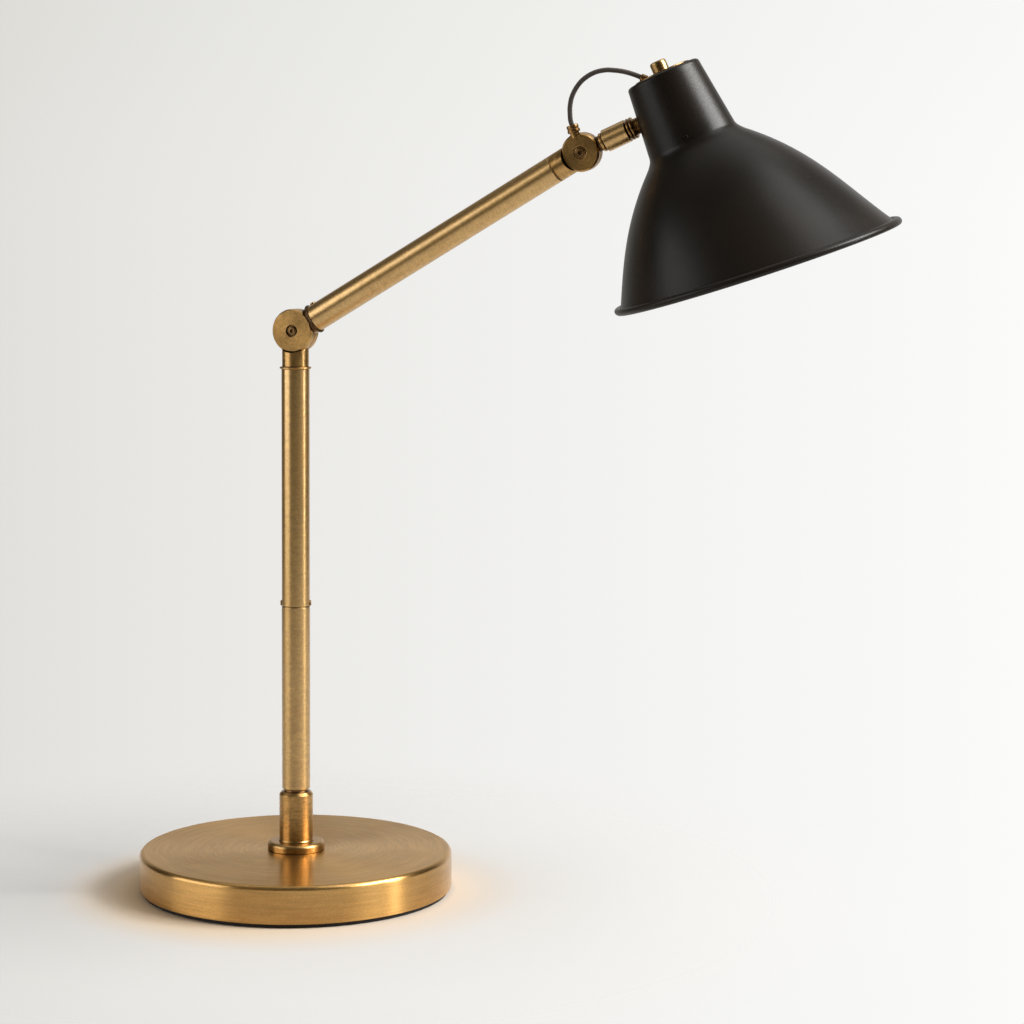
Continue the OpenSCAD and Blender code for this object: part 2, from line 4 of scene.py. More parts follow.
import bpy
import numpy as np
from mathutils import Matrix, Vector

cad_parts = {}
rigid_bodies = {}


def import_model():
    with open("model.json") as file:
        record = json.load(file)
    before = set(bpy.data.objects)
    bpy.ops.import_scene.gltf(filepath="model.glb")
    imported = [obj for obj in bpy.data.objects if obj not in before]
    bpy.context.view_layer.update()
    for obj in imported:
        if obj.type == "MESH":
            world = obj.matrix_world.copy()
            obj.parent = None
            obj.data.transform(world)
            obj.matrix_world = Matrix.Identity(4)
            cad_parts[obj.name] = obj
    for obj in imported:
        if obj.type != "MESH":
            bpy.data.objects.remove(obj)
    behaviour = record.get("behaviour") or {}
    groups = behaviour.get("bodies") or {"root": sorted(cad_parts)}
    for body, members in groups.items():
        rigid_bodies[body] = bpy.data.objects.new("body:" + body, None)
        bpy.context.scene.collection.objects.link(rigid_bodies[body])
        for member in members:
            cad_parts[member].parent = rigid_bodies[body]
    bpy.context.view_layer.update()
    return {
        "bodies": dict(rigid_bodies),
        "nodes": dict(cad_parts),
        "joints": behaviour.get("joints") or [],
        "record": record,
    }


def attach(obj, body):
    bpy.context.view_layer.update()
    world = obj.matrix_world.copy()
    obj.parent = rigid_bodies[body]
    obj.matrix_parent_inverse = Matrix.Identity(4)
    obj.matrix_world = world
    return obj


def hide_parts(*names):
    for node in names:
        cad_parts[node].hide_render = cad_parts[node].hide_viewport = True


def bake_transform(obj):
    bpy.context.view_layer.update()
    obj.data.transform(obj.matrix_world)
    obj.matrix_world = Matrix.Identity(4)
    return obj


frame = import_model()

MM = 0.001
rad = math.radians


def axes(x, y, z, origin):
    """Matrix of a frame at origin, in metres, with its X, Y and Z along x, y and z."""
    return Matrix.Translation(origin) @ Matrix((x, y, z)).transposed().to_4x4()


# ---------------------------------------------------------------- camera

AZIMUTH, PITCH, ROLL = rad(19.66), rad(6.18), rad(0.42)
CAMERA_AT = (0.62398, -1.37934, 0.38626)

back = Vector((math.sin(AZIMUTH) * math.cos(PITCH), -math.cos(AZIMUTH) * math.cos(PITCH), math.sin(PITCH)))
level = Vector((math.cos(AZIMUTH), math.sin(AZIMUTH), 0))
upward = back.cross(level)
right = level * math.cos(ROLL) + upward * math.sin(ROLL)
up = upward * math.cos(ROLL) - level * math.sin(ROLL)
cam_data = bpy.data.cameras.new("camera")
cam_data.sensor_width = 36
cam_data.lens = 93.4
cam_data.shift_y = -0.0042
cam = bpy.data.objects.new("camera", cam_data)
bpy.context.scene.collection.objects.link(cam)
cam.matrix_world = axes(right, up, back, CAMERA_AT)
bpy.context.scene.camera = cam

# ---------------------------------------------------------------- places, from the frame's joints

joints = {j["name"]: j for j in frame["joints"]}


def centre_of(joint):
    return Vector(joints[joint]["pos_m"])


def axis_of(joint):
    return Vector(joints[joint]["axis"]).normalized()


def place(origin, x, y):
    """Matrix of a frame at origin, in metres, with its X and Y along x and y."""
    x, y = Vector(x).normalized(), Vector(y).normalized()
    return axes(x, y, x.cross(y), origin)


elbow = centre_of("elbow_hinge")
wrist = centre_of("wrist_hinge")
cup = centre_of("switch_turn")
arm_dir = axis_of("head_swivel")
pin_dir = -axis_of("wrist_hinge")
shade_dir = axis_of("switch_turn")
stem_dir = pin_dir.cross(shade_dir)

# A turned piece's axis is its Z. These lay that Z along a place's X, against it, to its front and to its rear.
TO_X = Matrix(((0, 0, 1), (0, 1, 0), (-1, 0, 0))).to_4x4()
TO_MINUS_X = Matrix(((0, 0, -1), (0, 1, 0), (1, 0, 0))).to_4x4()
TO_FRONT = Matrix(((1, 0, 0), (0, 0, -1), (0, 1, 0))).to_4x4()
TO_REAR = Matrix(((1, 0, 0), (0, 0, 1), (0, -1, 0))).to_4x4()

FLOOR = Matrix.Identity(4)
ELBOW = place(elbow, (1, 0, 0), (0, 1, 0))
ARM = place(elbow, arm_dir, (0, 1, 0))
WRIST = place(wrist, arm_dir, pin_dir)
STEM = place(wrist, stem_dir, pin_dir)
STEM_X = STEM @ TO_X
SHADE = place(cup, stem_dir, pin_dir)

# ---------------------------------------------------------------- driving sizes, in millimetres

BASE_R = 90
PAD = 2.3                              # top of the rubber pad
TOP = 23.5                             # top of the base
FLANGE_R, FLANGE_H = 16.4, 5
COLLAR_R, COLLAR_TOP = 9.65, 57.5
INLET_R, INLET_Z = 5.0, 8.6            # hole for the cable, and its height
LOWER_R, UPPER_R, POST_BORE = 8.1, 8.0, 7.05
TUBE_FOOT, SEAM, POST_TOP = 59.3, 165.5, 301.4
ELBOW_R, ELBOW_DEPTH = 12.35, 11
WRIST_R, WRIST_DEPTH = 10.55, 10
LAP = 0.35                             # from a hinge's middle to the inner face of each half
ARM_R, ARM_BORE = 7.7, 6.7
ARM_START, ARM_END = 14.35, 179.55     # along the arm, from the elbow's pin
CUP_R, CUP_FOOT_R, CUP_H = 20.6, 25.1, 41.5
MOUTH_R, DOME_H = 85.1, 87.4
WALL = 1                               # thickness of the shade
CORD_R = 1.35

# ---------------------------------------------------------------- mesh tools, in millimetres


def mark(obj, frame=Matrix.Identity(4), chosen=None):
    """Stores each point's place about the frame's Z, and the way round that Z, for the brushed metal."""
    mesh = obj.data
    co = np.empty(3 * len(mesh.vertices))
    mesh.vertices.foreach_get("co", co)
    back_to = np.array(frame.inverted())
    local = co.reshape(-1, 3) @ back_to[:3, :3].T + back_to[:3, 3]
    around = np.stack([-local[:, 1], local[:, 0], np.zeros(len(local))], -1)
    around /= np.maximum(np.linalg.norm(around, axis=1), 1e-5)[:, None]
    around = around @ np.array((obj.matrix_world @ frame).to_3x3()).T
    for name, values in (("local", local), ("around", around)):
        if chosen is None:
            if name in mesh.attributes:
                mesh.attributes.remove(mesh.attributes[name])
            mesh.attributes.new(name, "FLOAT_VECTOR", "POINT")
        else:
            old = np.empty(3 * len(mesh.vertices))
            mesh.attributes[name].data.foreach_get("vector", old)
            values = np.where(chosen[:, None], values, old.reshape(-1, 3))
        mesh.attributes[name].data.foreach_set("vector", values.ravel())


def settle(obj):
    """Leaves the mesh in the shared frame, with no placement of its own."""
    if "local" not in obj.data.attributes:
        mark(obj)
    obj.data.transform(obj.matrix_world)
    obj.data.update()
    obj.matrix_world = Matrix.Identity(4)


def make(name, verts, faces, matrix, angle=38):
    """A mesh object from points in millimetres, smooth but for edges sharper than angle."""
    mesh = bpy.data.meshes.new(name)
    mesh.from_pydata((np.asarray(verts, float) * MM).tolist(), [], faces)
    mesh.update()
    obj = bpy.data.objects.new(name, mesh)
    bpy.context.scene.collection.objects.link(obj)
    obj.matrix_world = matrix
    soften(obj, angle)
    return obj


def soften(obj, angle=38):
    """Smooth shading but for edges sharper than angle."""
    mesh = obj.data
    mesh.polygons.foreach_set("use_smooth", [True] * len(mesh.polygons))
    mesh.set_sharp_from_angle(angle=rad(angle))
    mod = obj.modifiers.new("normals", "WEIGHTED_NORMAL")
    mod.keep_sharp = True
    mod.weight = 60


def rounded(points, steps=5):
    """A closed outline of (r, z) or (r, z, radius) points, with the corners rounded."""
    out = []
    for i, p in enumerate(points):
        c = np.array(p[:2], float)
        radius = p[2] if len(p) > 2 else 0
        if radius <= 0:
            out.append(c)
            continue
        a = np.array(points[i - 1][:2], float) - c
        b = np.array(points[(i + 1) % len(points)][:2], float) - c
        la, lb = np.linalg.norm(a), np.linalg.norm(b)
        a, b = a / la, b / lb
        if np.linalg.norm(a + b) < 1e-4:
            out.append(c)
            continue
        half = math.acos(max(-1, min(1, float(a @ b)))) / 2
        d = min(radius / math.tan(half), 0.48 * la, 0.48 * lb)
        r = d * math.tan(half)
        centre = c + (a + b) / np.linalg.norm(a + b) * r / math.sin(half)
        v0, v1 = c + a * d - centre, c + b * d - centre
        turn = math.pi - 2 * half
        for k in range(steps + 1):
            t = k / steps
            out.append(centre + (math.sin((1 - t) * turn) * v0 + math.sin(t * turn) * v1) / math.sin(turn))
    return out


def lathe(points, segments=128):
    """Points and faces of a closed outline turned about Z. It runs up the outside and down the inside."""
    verts, faces, rings = [], [], []
    angles = np.arange(segments) * 2 * math.pi / segments
    for r, z in points:
        if r < 1e-6:
            rings.append([len(verts)])
            verts.append((0, 0, z))
        else:
            rings.append(list(range(len(verts), len(verts) + segments)))
            verts.extend(zip(r * np.cos(angles), r * np.sin(angles), np.full(segments, z)))
    for a, b in zip(rings, rings[1:] + rings[:1]):
        if len(a) == 1 and len(b) == 1:
            continue
        for k in range(segments):
            m = (k + 1) % segments
            if len(a) == 1:
                faces.append((a[0], b[m], b[k]))
            elif len(b) == 1:
                faces.append((a[k], a[m], b[0]))
            else:
                faces.append((a[k], a[m], b[m], b[k]))
    return verts, faces


def turned(name, outline, matrix, segments=128, steps=5):
    """A turned piece: a closed outline with rounded corners, lathed about the matrix's Z."""
    return make(name, *lathe(rounded(outline, steps), segments), matrix)


def tube(r, bore, z0, z1, edge=0.2):
    return [(bore, z0, edge / 2), (r, z0, edge), (r, z1, edge), (bore, z1, edge / 2)]


def extrude(ring, z0, z1):
    """Points and faces of a prism over a ring of (x, y) points."""
    sides = len(ring)
    verts = [(x, y, z) for z in (z0, z1) for x, y in ring]
    faces = [tuple(reversed(range(sides))), tuple(range(sides, 2 * sides))]
    faces += [(k, (k + 1) % sides, sides + (k + 1) % sides, sides + k) for k in range(sides)]
    return verts, faces


def hexagon(r, z0, z1):
    """Points and faces of a six-sided prism, r from its axis to a corner."""
    corners = [2 * math.pi * k / 6 for k in range(6)]
    return extrude([(r * math.cos(a), r * math.sin(a)) for a in corners], z0, z1)


def bands(rows, sides, closed=False):
    """Quads between neighbouring rings, and from the last ring back to the first where closed."""
    quads = []
    for i in range(rows if closed else rows - 1):
        a, b = i * sides, (i + 1) % rows * sides
        quads += [(a + k, a + (k + 1) % sides, b + (k + 1) % sides, b + k) for k in range(sides)]
    return quads


def circle(segments):
    return np.arange(segments) * 2 * math.pi / segments


def boolean(obj, other, operation="DIFFERENCE"):
    """Cuts other out of obj, or joins or intersects them, and removes other."""
    for o in (obj, other):
        for m in list(o.modifiers):
            o.modifiers.remove(m)
    mod = obj.modifiers.new("cut", "BOOLEAN")
    mod.object, mod.operation, mod.solver = other, operation, "EXACT"
    shape = obj.evaluated_get(bpy.context.evaluated_depsgraph_get())
    mesh = bpy.data.meshes.new_from_object(shape)
    obj.modifiers.remove(mod)
    obj.data = mesh
    bpy.data.objects.remove(other)
    soften(obj)
    return obj


def cylinder(r, z0, z1, matrix, segments=96):
    return make("cutter", *lathe([(0, z0), (r, z0), (r, z1), (0, z1)], segments), matrix)


# ---------------------------------------------------------------- node material tools


class Nodes:
    """Short names for building the nodes of a material or a world."""

    def __init__(self, owner):
        owner.use_nodes = True
        self.owner = owner
        self.tree = owner.node_tree
        self.bsdf = self.tree.nodes.get("Principled BSDF")

    def node(self, kind, **settings):
        n = self.tree.nodes.new(kind)
        for key, value in settings.items():
            setattr(n, key, value)
        return n

    def put(self, socket, value):
        if isinstance(value, bpy.types.NodeSocket):
            self.tree.links.new(value, socket)
        else:
            socket.default_value = value

    def math(self, operation, a, b=0.0, c=0.0):
        n = self.node("ShaderNodeMath", operation=operation)
        self.put(n.inputs[0], a)
        self.put(n.inputs[1], b)
        if operation in ("MULTIPLY_ADD", "SMOOTH_MIN", "SMOOTH_MAX"):
            self.put(n.inputs[2], c)
        return n.outputs[0]

    def coords(self):
        return self.node("ShaderNodeTexCoord").outputs["Object"]

    def split(self, vector):
        n = self.node("ShaderNodeSeparateXYZ")
        self.put(n.inputs[0], vector)
        return n.outputs

    def join(self, x, y, z):
        n = self.node("ShaderNodeCombineXYZ")
        for socket, v in zip(n.inputs, (x, y, z)):
            self.put(socket, v)
        return n.outputs[0]

    def reach(self, x, y):
        """Distance from the Z axis."""
        n = self.node("ShaderNodeVectorMath", operation="LENGTH")
        self.put(n.inputs[0], self.join(x, y, 0.0))
        return n.outputs["Value"]

    def along(self, vector, axis):
        """How far a vector points along an axis."""
        n = self.node("ShaderNodeVectorMath", operation="DOT_PRODUCT")
        self.put(n.inputs[0], vector)
        n.inputs[1].default_value = tuple(axis)
        return n.outputs["Value"]

    def noise(self, vector, scale, detail=3.0, rough=0.5, w=None):
        n = self.node("ShaderNodeTexNoise", noise_dimensions="4D" if w is not None else "3D")
        self.put(n.inputs["Vector"], vector)
        if w is not None:
            self.put(n.inputs["W"], w)
        n.inputs["Scale"].default_value = scale
        n.inputs["Detail"].default_value = detail
        n.inputs["Roughness"].default_value = rough
        return n.outputs[0]

    def ramp(self, value, low, high, a, b, smooth=True):
        n = self.node("ShaderNodeMapRange", interpolation_type="SMOOTHSTEP" if smooth else "LINEAR")
        for socket, v in zip(n.inputs, (value, low, high, a, b)):
            self.put(socket, v)
        return n.outputs[0]

    def mix(self, amount, a, b, kind="MIX"):
        n = self.node("ShaderNodeMix", data_type="RGBA", blend_type=kind)
        self.put(n.inputs[0], amount)
        self.put(n.inputs[6], a if isinstance(a, bpy.types.NodeSocket) else (*a, 1))
        self.put(n.inputs[7], b if isinstance(b, bpy.types.NodeSocket) else (*b, 1))
        return n.outputs[2]

    def bump(self, height, strength, distance):
        n = self.node("ShaderNodeBump")
        n.inputs["Strength"].default_value = strength
        n.inputs["Distance"].default_value = distance
        self.put(n.inputs["Height"], height)
        self.put(self.bsdf.inputs["Normal"], n.outputs[0])

    def set(self, **values):
        """Sets or links the shader's sockets by name."""
        for key, value in values.items():
            self.put(self.bsdf.inputs[key.replace("_", " ")], value)


def material(name):
    return Nodes(bpy.data.materials.new(name))


def scaled(colour, factor, lift=0.0):
    return tuple(c * factor + lift for c in colour)


def brass(name, colour, grain, rough, coat_weight, aniso=0.6, dark=0.5, spot=0.0, rim=None):
    """Brushed, lacquered antique brass. Brush lines run round the piece's own axis, and painted shade, together
    with the patina of antique brass, darkens its crevices by the amount dark.
    Outside rim, in metres, the lacquer is thicker and the brushing deeper."""
    m = material(name)
    p = m.node("ShaderNodeAttribute", attribute_name="local").outputs["Vector"]
    x, y, z = m.split(p)
    r = m.reach(x, y)
    safe = m.math("MAXIMUM", r, 0.0004)
    cx, cy = m.math("DIVIDE", x, safe), m.math("DIVIDE", y, safe)

    def streaks(density, turns, detail, roughness):
        """Noise stretched round the axis: so many streaks to a metre, and turns along each one."""
        across = m.math("MULTIPLY", r, density)
        where = m.join(across, m.math("MULTIPLY", cx, turns), m.math("MULTIPLY", cy, turns))
        return m.noise(where, 1.0, detail, roughness, w=m.math("MULTIPLY", z, density))

    fine = streaks(900.0, 3.5, 3, 0.6)
    coarse = streaks(420.0, 1.4, 2, 0.5)
    cloud = m.noise(p, 34.0, 4, 0.55)
    specks = m.noise(p, 1100.0, 2, 0.6)
    brushed = m.math("MULTIPLY_ADD", fine, 0.7, m.math("MULTIPLY", coarse, 0.3))
    tone = m.ramp(m.math("MULTIPLY_ADD", specks, 0.35, m.math("MULTIPLY", brushed, 0.65)), 0.34, 0.66, 0.0, 1.0)
    light = tuple(min(1, c * (1 + 0.16 * grain)) for c in colour)
    col = m.mix(tone, scaled(colour, 1 - 0.30 * grain), light)
    patina = m.ramp(cloud, 0.42, 0.74, 0.0, 0.35)
    col = m.mix(patina, col, (colour[0] * 0.76, colour[1] * 0.66, colour[2] * 0.50))
    if spot:
        col = m.mix(m.ramp(specks, 0.60, 0.72, 0.0, spot), col, (0.34, 0.15, 0.05))
    # painted shade: ambient occlusion darkens crevices and corners towards near-black brass, by the amount dark
    occlusion_shade = m.node("ShaderNodeAmbientOcclusion", samples=6, only_local=False)
    occlusion_shade.inputs["Distance"].default_value = 0.0024
    col = m.mix(m.ramp(occlusion_shade.outputs["AO"], 0.15, 0.80, dark, 0.0), col, (0.030, 0.014, 0.005))
    if rim:
        turnover = rim - 0.0008
        aniso = m.ramp(r, turnover, rim, aniso, 0.88)
        coat_weight = m.ramp(r, turnover, rim, coat_weight, 0.55)
    polish = m.math("MULTIPLY_ADD", tone, -0.02 * grain, rough + 0.01 * grain)
    turn = m.node("ShaderNodeVectorTransform", vector_type="VECTOR", convert_from="OBJECT", convert_to="WORLD")
    m.put(turn.inputs[0], m.node("ShaderNodeAttribute", attribute_name="around").outputs["Vector"])
    m.set(Base_Color=col, Metallic=1.0, Roughness=m.math("ADD", polish, m.ramp(cloud, 0.3, 0.75, 0.0, 0.05)),
          Specular_Tint=(1.0, 0.92, 0.80, 1), Coat_Weight=coat_weight, Coat_Roughness=0.19,
          Anisotropic=aniso, Anisotropic_Rotation=0.25, Tangent=turn.outputs[0])
    return m.owner


def plain_metal(name, colour, rough):
    m = material(name)
    p = m.coords()
    pits = m.noise(p, 260.0, 4, 0.6)
    stain = m.noise(p, 32.5, 3, 0.5)
    m.set(Base_Color=m.mix(m.ramp(stain, 0.3, 0.7, 0, 1), scaled(colour, 0.8), colour), Metallic=1.0,
          Roughness=m.ramp(pits, 0.2, 0.8, rough - 0.06, rough + 0.1))
    m.bump(pits, 0.2, 0.00005)
    return m.owner


def coat(name, colour, rough, peel, warm=None, specular=0.5):
    """Sprayed satin paint with a fine orange peel."""
    m = material(name)
    p = m.coords()
    fine = m.noise(p, 1500.0, 2, 0.5)
    skin = m.noise(p, 430.0, 2, 0.5)
    cloud = m.noise(p, 16.0, 3, 0.5)
    col = m.mix(m.ramp(cloud, 0.3, 0.7, 0.0, 1.0), scaled(colour, 0.88), warm or scaled(colour, 1.12))
    col = m.mix(m.ramp(fine, 0.62, 0.8, 0.0, 0.25), col, scaled(colour, 1.9, 0.004))
    satin = m.math("ADD", m.ramp(fine, 0.3, 0.7, rough - 0.03, rough + 0.05),
                   m.ramp(cloud, 0.3, 0.7, -0.02, 0.03))
    m.set(Base_Color=col, Roughness=satin, Specular_IOR_Level=specular)
    m.bump(m.math("MULTIPLY_ADD", fine, 0.45, m.math("MULTIPLY", skin, 0.55)), peel, 0.00012)
    return m.owner


def rubber(name, colour, rough=0.72, grain=700.0):
    m = material(name)
    p = m.coords()
    n = m.noise(p, grain, 3, 0.6)
    dust = m.noise(p, 45.0, 4, 0.6)
    m.set(Base_Color=m.mix(m.ramp(dust, 0.45, 0.75, 0.0, 0.35), colour, scaled(colour, 1.8, 0.006)),
          Roughness=m.ramp(n, 0.3, 0.7, rough - 0.07, min(0.95, rough + 0.1)), Specular_IOR_Level=0.35)
    m.bump(n, 0.35, 0.0001)
    return m.owner


def cast_iron():
    m = material("iron")
    p = m.coords()
    n = m.noise(p, 380.0, 6, 0.7)
    rust = m.noise(p, 30.0, 4, 0.6)
    m.set(Base_Color=m.mix(m.ramp(rust, 0.5, 0.75, 0, 0.6), (0.06, 0.06, 0.062), (0.13, 0.07, 0.045)),
          Metallic=0.7, Roughness=m.ramp(n, 0.2, 0.8, 0.55, 0.8))
    m.bump(n, 0.7, 0.0004)
    return m.owner


THREADS = 8    # of the braid, each way round the cord


def woven():
    """Braided cotton sleeve: two families of threads that cross round the cord."""
    m = material("braid")
    uv = m.node("ShaderNodeUVMap", uv_map="along")
    u, v, _ = m.split(uv.outputs[0])
    round_cord = m.math("MULTIPLY", u, THREADS)
    a = m.math("SINE", m.math("MULTIPLY", m.math("ADD", round_cord, v), 2 * math.pi))
    b = m.math("SINE", m.math("MULTIPLY", m.math("SUBTRACT", round_cord, v), 2 * math.pi))
    weave = m.math("MULTIPLY_ADD", m.math("MAXIMUM", a, b), 0.5, 0.5)
    p = m.coords()
    fuzz = m.noise(p, 2600.0, 3, 0.6)
    wear = m.noise(p, 120.0, 3, 0.5)
    col = m.mix(weave, (0.022, 0.015, 0.010), (0.070, 0.050, 0.037))
    col = m.mix(m.ramp(wear, 0.4, 0.7, 0, 0.4), col, (0.060, 0.040, 0.028))
    m.set(Base_Color=col, Roughness=m.ramp(fuzz, 0.3, 0.7, 0.62, 0.82), Sheen_Weight=0.35, Sheen_Roughness=0.45)
    m.bump(m.math("MULTIPLY_ADD", fuzz, 0.3, weave), 0.4, 0.00008)
    return m.owner


def opal_glass():
    m = material("opal_glass")
    n = m.noise(m.coords(), 60.0, 3, 0.5)
    m.set(Base_Color=m.mix(m.ramp(n, 0.3, 0.7, 0, 1), (0.80, 0.78, 0.72), (0.86, 0.84, 0.79)),
          Roughness=m.ramp(n, 0.3, 0.7, 0.20, 0.28), Coat_Weight=0.6, Coat_Roughness=0.08,
          Subsurface_Weight=0.25, Subsurface_Scale=0.004)
    m.bump(n, 0.05, 0.0001)
    return m.owner


base_brass = brass("brass_base", (0.60, 0.345, 0.105), grain=0.8, rough=0.28, coat_weight=0.15,
                   aniso=0.72, rim=(BASE_R - 0.7) * MM)
tube_brass = brass("brass_tube", (0.58, 0.365, 0.138), grain=0.8, rough=0.33, coat_weight=0.75, aniso=0.45)
joint_brass = brass("brass_joint", (0.50, 0.292, 0.094), grain=1.3, rough=0.32, coat_weight=0.35,
                    aniso=0.4, dark=0.88, spot=0.6)
screw_brass = brass("brass_screw", (0.32, 0.178, 0.062), grain=1.0, rough=0.34, coat_weight=0.3,
                    dark=0.9, spot=0.5)
# dark brass: the arm's band, and painted shade on the knuckle necks
dark_brass = brass("brass_dark", (0.085, 0.044, 0.016), grain=1.0, rough=0.38, coat_weight=0.2,
                   dark=0.95, spot=0.3)
knob_brass = brass("brass_knob", (0.40, 0.255, 0.100), grain=0.7, rough=0.36, coat_weight=0.3, dark=0.7)
zinc = plain_metal("zinc", (0.52, 0.52, 0.50), 0.38)
hidden_brass = plain_metal("brass_hidden", (0.55, 0.34, 0.12), 0.34)
cap_metal = plain_metal("cap_metal", (0.72, 0.72, 0.71), 0.30)
black_coat = coat("black_coat", (0.0075, 0.0058, 0.0040), 0.33, 0.45, warm=(0.0115, 0.0080, 0.0050),
                  specular=0.20)
inner_coat = coat("inner_coat", (0.78, 0.76, 0.71), 0.42, 0.25, warm=(0.83, 0.80, 0.74))
black_plastic = coat("black_plastic", (0.014, 0.014, 0.014), 0.45, 0.2)
nylon = coat("nylon", (0.66, 0.63, 0.54), 0.48, 0.2)
fibre = rubber("fibre", (0.028, 0.021, 0.015), 0.75, 1400.0)
pad_rubber = rubber("pad_rubber", (0.013, 0.012, 0.0115))
iron = cast_iron()
braid = woven()
glass = opal_glass()


def piece(obj, body, materials, slot, *nodes):
    """Finishes a piece: its materials, the body that it rides on and the CAD nodes that it stands for."""
    settle(obj)
    obj.data.materials.clear()
    for mat in materials if isinstance(materials, (list, tuple)) else [materials]:
        obj.data.materials.append(mat)
    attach(obj, body)
    if nodes:
        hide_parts(*nodes)
    return obj


def two_tone(obj, second, body, materials, slot, node):
    """A piece of two materials, with the second one on the faces listed as 1."""
    piece(obj, body, materials, slot, node)
    obj.data.polygons.foreach_set("material_index", second)


# ---------------------------------------------------------------- cord

ROUTE = [
    (-4.8, -2.7, 14.8), (-5.5, -2.6, 17.0), (-5.8, -2.4, 20.0), (-5.8, -2.2, 24.3),
    (-4.8, -1.9, 29.4), (-2.2, -1.7, 34.5), (1.7, -1.4, 38.9), (7.4, -1.2, 42.3),
    (13.6, -0.9, 43.7), (19.0, -0.7, 43.5), (24.2, -0.4, 42.7), (29.4, -0.2, 41.2),
    (33.25, 0, 39.65),
]
WRIST_ROLL = 6.6    # turns the wrist's place about the arm until its X is level
LEVEL = place(wrist, Matrix.Rotation(rad(WRIST_ROLL), 3, arm_dir) @ Vector((1, 0, 0)), pin_dir)


def smooth_path(points, step=0.25):
    """Points every step millimetres along a Catmull-Rom curve."""
    p = [np.array(q, float) for q in points]
    p = [2 * p[0] - p[1]] + p + [2 * p[-1] - p[-2]]
    out = []
    for a, b, c, d in zip(p, p[1:], p[2:], p[3:]):
        n = max(2, int(np.linalg.norm(c - b) / step))
        for k in range(n):
            t = k / n
            out.append(0.5 * (2 * b + (c - a) * t + (2 * a - 5 * b + 4 * c - d) * t * t
                              + (3 * b - a - 3 * c + d) * t ** 3))
    out.append(p[-2])
    return np.array(out)


def path_lengths(path):
    return np.linalg.norm(np.diff(path, axis=0), axis=1)


def sweep(name, path, r, sides, matrix, weave, pitch=2.2):
    """A tube along a path, with a braid raised on it and a UV map that runs round and along it."""
    tangents = np.gradient(path, axis=0)
    tangents /= np.linalg.norm(tangents, axis=1)[:, None]
    side = np.cross(tangents, (0, 1, 0))
    side /= np.linalg.norm(side, axis=1)[:, None]
    over = np.cross(side, tangents)
    run = np.concatenate([[0], np.cumsum(path_lengths(path))])
    angle = circle(sides)
    u, v = np.meshgrid(angle / (2 * math.pi), run / pitch)
    a, b = np.sin(2 * math.pi * (u * THREADS + v)), np.sin(2 * math.pi * (u * THREADS - v))
    radius = r - weave + weave * np.maximum(a, b)
    spokes = np.cos(angle)[None, :, None] * side[:, None] + np.sin(angle)[None, :, None] * over[:, None]
    verts = (path[:, None] + radius[..., None] * spokes).reshape(-1, 3)
    n = len(path)
    faces = bands(n, sides)
    faces += [tuple(reversed(range(sides))), tuple(range((n - 1) * sides, n * sides))]
    obj = make(name, verts, faces, matrix, 60)
    layer = obj.data.uv_layers.new(name="along")
    uvs = []
    for i in range(n - 1):
        near, far = run[i] / pitch, run[i + 1] / pitch
        for k in range(sides):
            this, following = k / sides, (k + 1) / sides
            uvs += [this, near, following, near, following, far, this, far]
    uvs += [0.0] * (2 * len(layer.data) - len(uvs))
    layer.data.foreach_set("uv", uvs)
    return obj


path_mm = smooth_path(ROUTE)
cord = sweep("cord_sleeve", path_mm, CORD_R, 32, LEVEL, weave=0.05)
settle(cord)
cord.data.materials.append(braid)
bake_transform(cord)
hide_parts("lamp_cord")

# ---------------------------------------------------------------- base

piece(turned("foot_pad", [
    (0, 0), (60, 0, 0.4), (60.6, 0.7, 0.3), (66, 0.7, 0.3), (66.6, 0, 0.4), (BASE_R - 1.6, 0, 0.5),
    (BASE_R - 1.6, PAD, 0.2), (0, PAD)], FLOOR, 256), "base", pad_rubber, "foot_rubber", "base_pad")

cover = turned("base_cover_skin", [
    (8.2, TOP - 1.2), (BASE_R - 2.8, TOP - 1.2, 1.8), (BASE_R - 1.2, PAD, 0.1), (BASE_R, PAD, 0.35),
    (BASE_R, TOP, 2.6), (8.2, TOP)], FLOOR, 288, steps=9)
inlet = Matrix.Translation((0, 0, INLET_Z * MM)) @ TO_REAR
boolean(cover, cylinder(INLET_R, BASE_R - 10, BASE_R + 5, inlet, 64))
piece(cover, "base", base_brass, "brushed_brass", "base_cover")

piece(turned("flange_ring", [
    (8.1, TOP), (FLANGE_R, TOP, 0.35), (FLANGE_R, TOP + FLANGE_H, 2.3), (10.2, TOP + FLANGE_H, 0.15),
    (8.1, TOP + FLANGE_H)], FLOOR, 160, steps=7), "base", joint_brass, "brushed_brass", "base_flange")
collar_foot = TOP + FLANGE_H
piece(turned("swivel_collar", [
    (7.2, 36), (4.7, 36), (4.7, 5, 0.3), (8, 5, 0.3), (8, collar_foot), (COLLAR_R + 0.3, collar_foot, 0.1),
    (COLLAR_R + 0.3, collar_foot + 0.5, 0.1), (COLLAR_R, collar_foot + 1, 0.2),
    (COLLAR_R, COLLAR_TOP - 1.6, 0.4), (8.35, COLLAR_TOP, 0.3), (7.2, COLLAR_TOP, 0.2)], FLOOR, 160),
    "base", joint_brass, "brushed_brass", "base_collar")
piece(turned("inlet_grommet", [
    (3.1, BASE_R - 2.8, 0.2), (4.9, BASE_R - 2.8, 0.3), (4.9, BASE_R + 0.05), (5.8, BASE_R + 0.05, 0.1),
    (5.8, BASE_R + 2.2, 0.8), (3.1, BASE_R + 2.2, 0.6)], inlet, 96),
    "base", pad_rubber, "foot_rubber", "cable_bush")

# ---------------------------------------------------------------- post

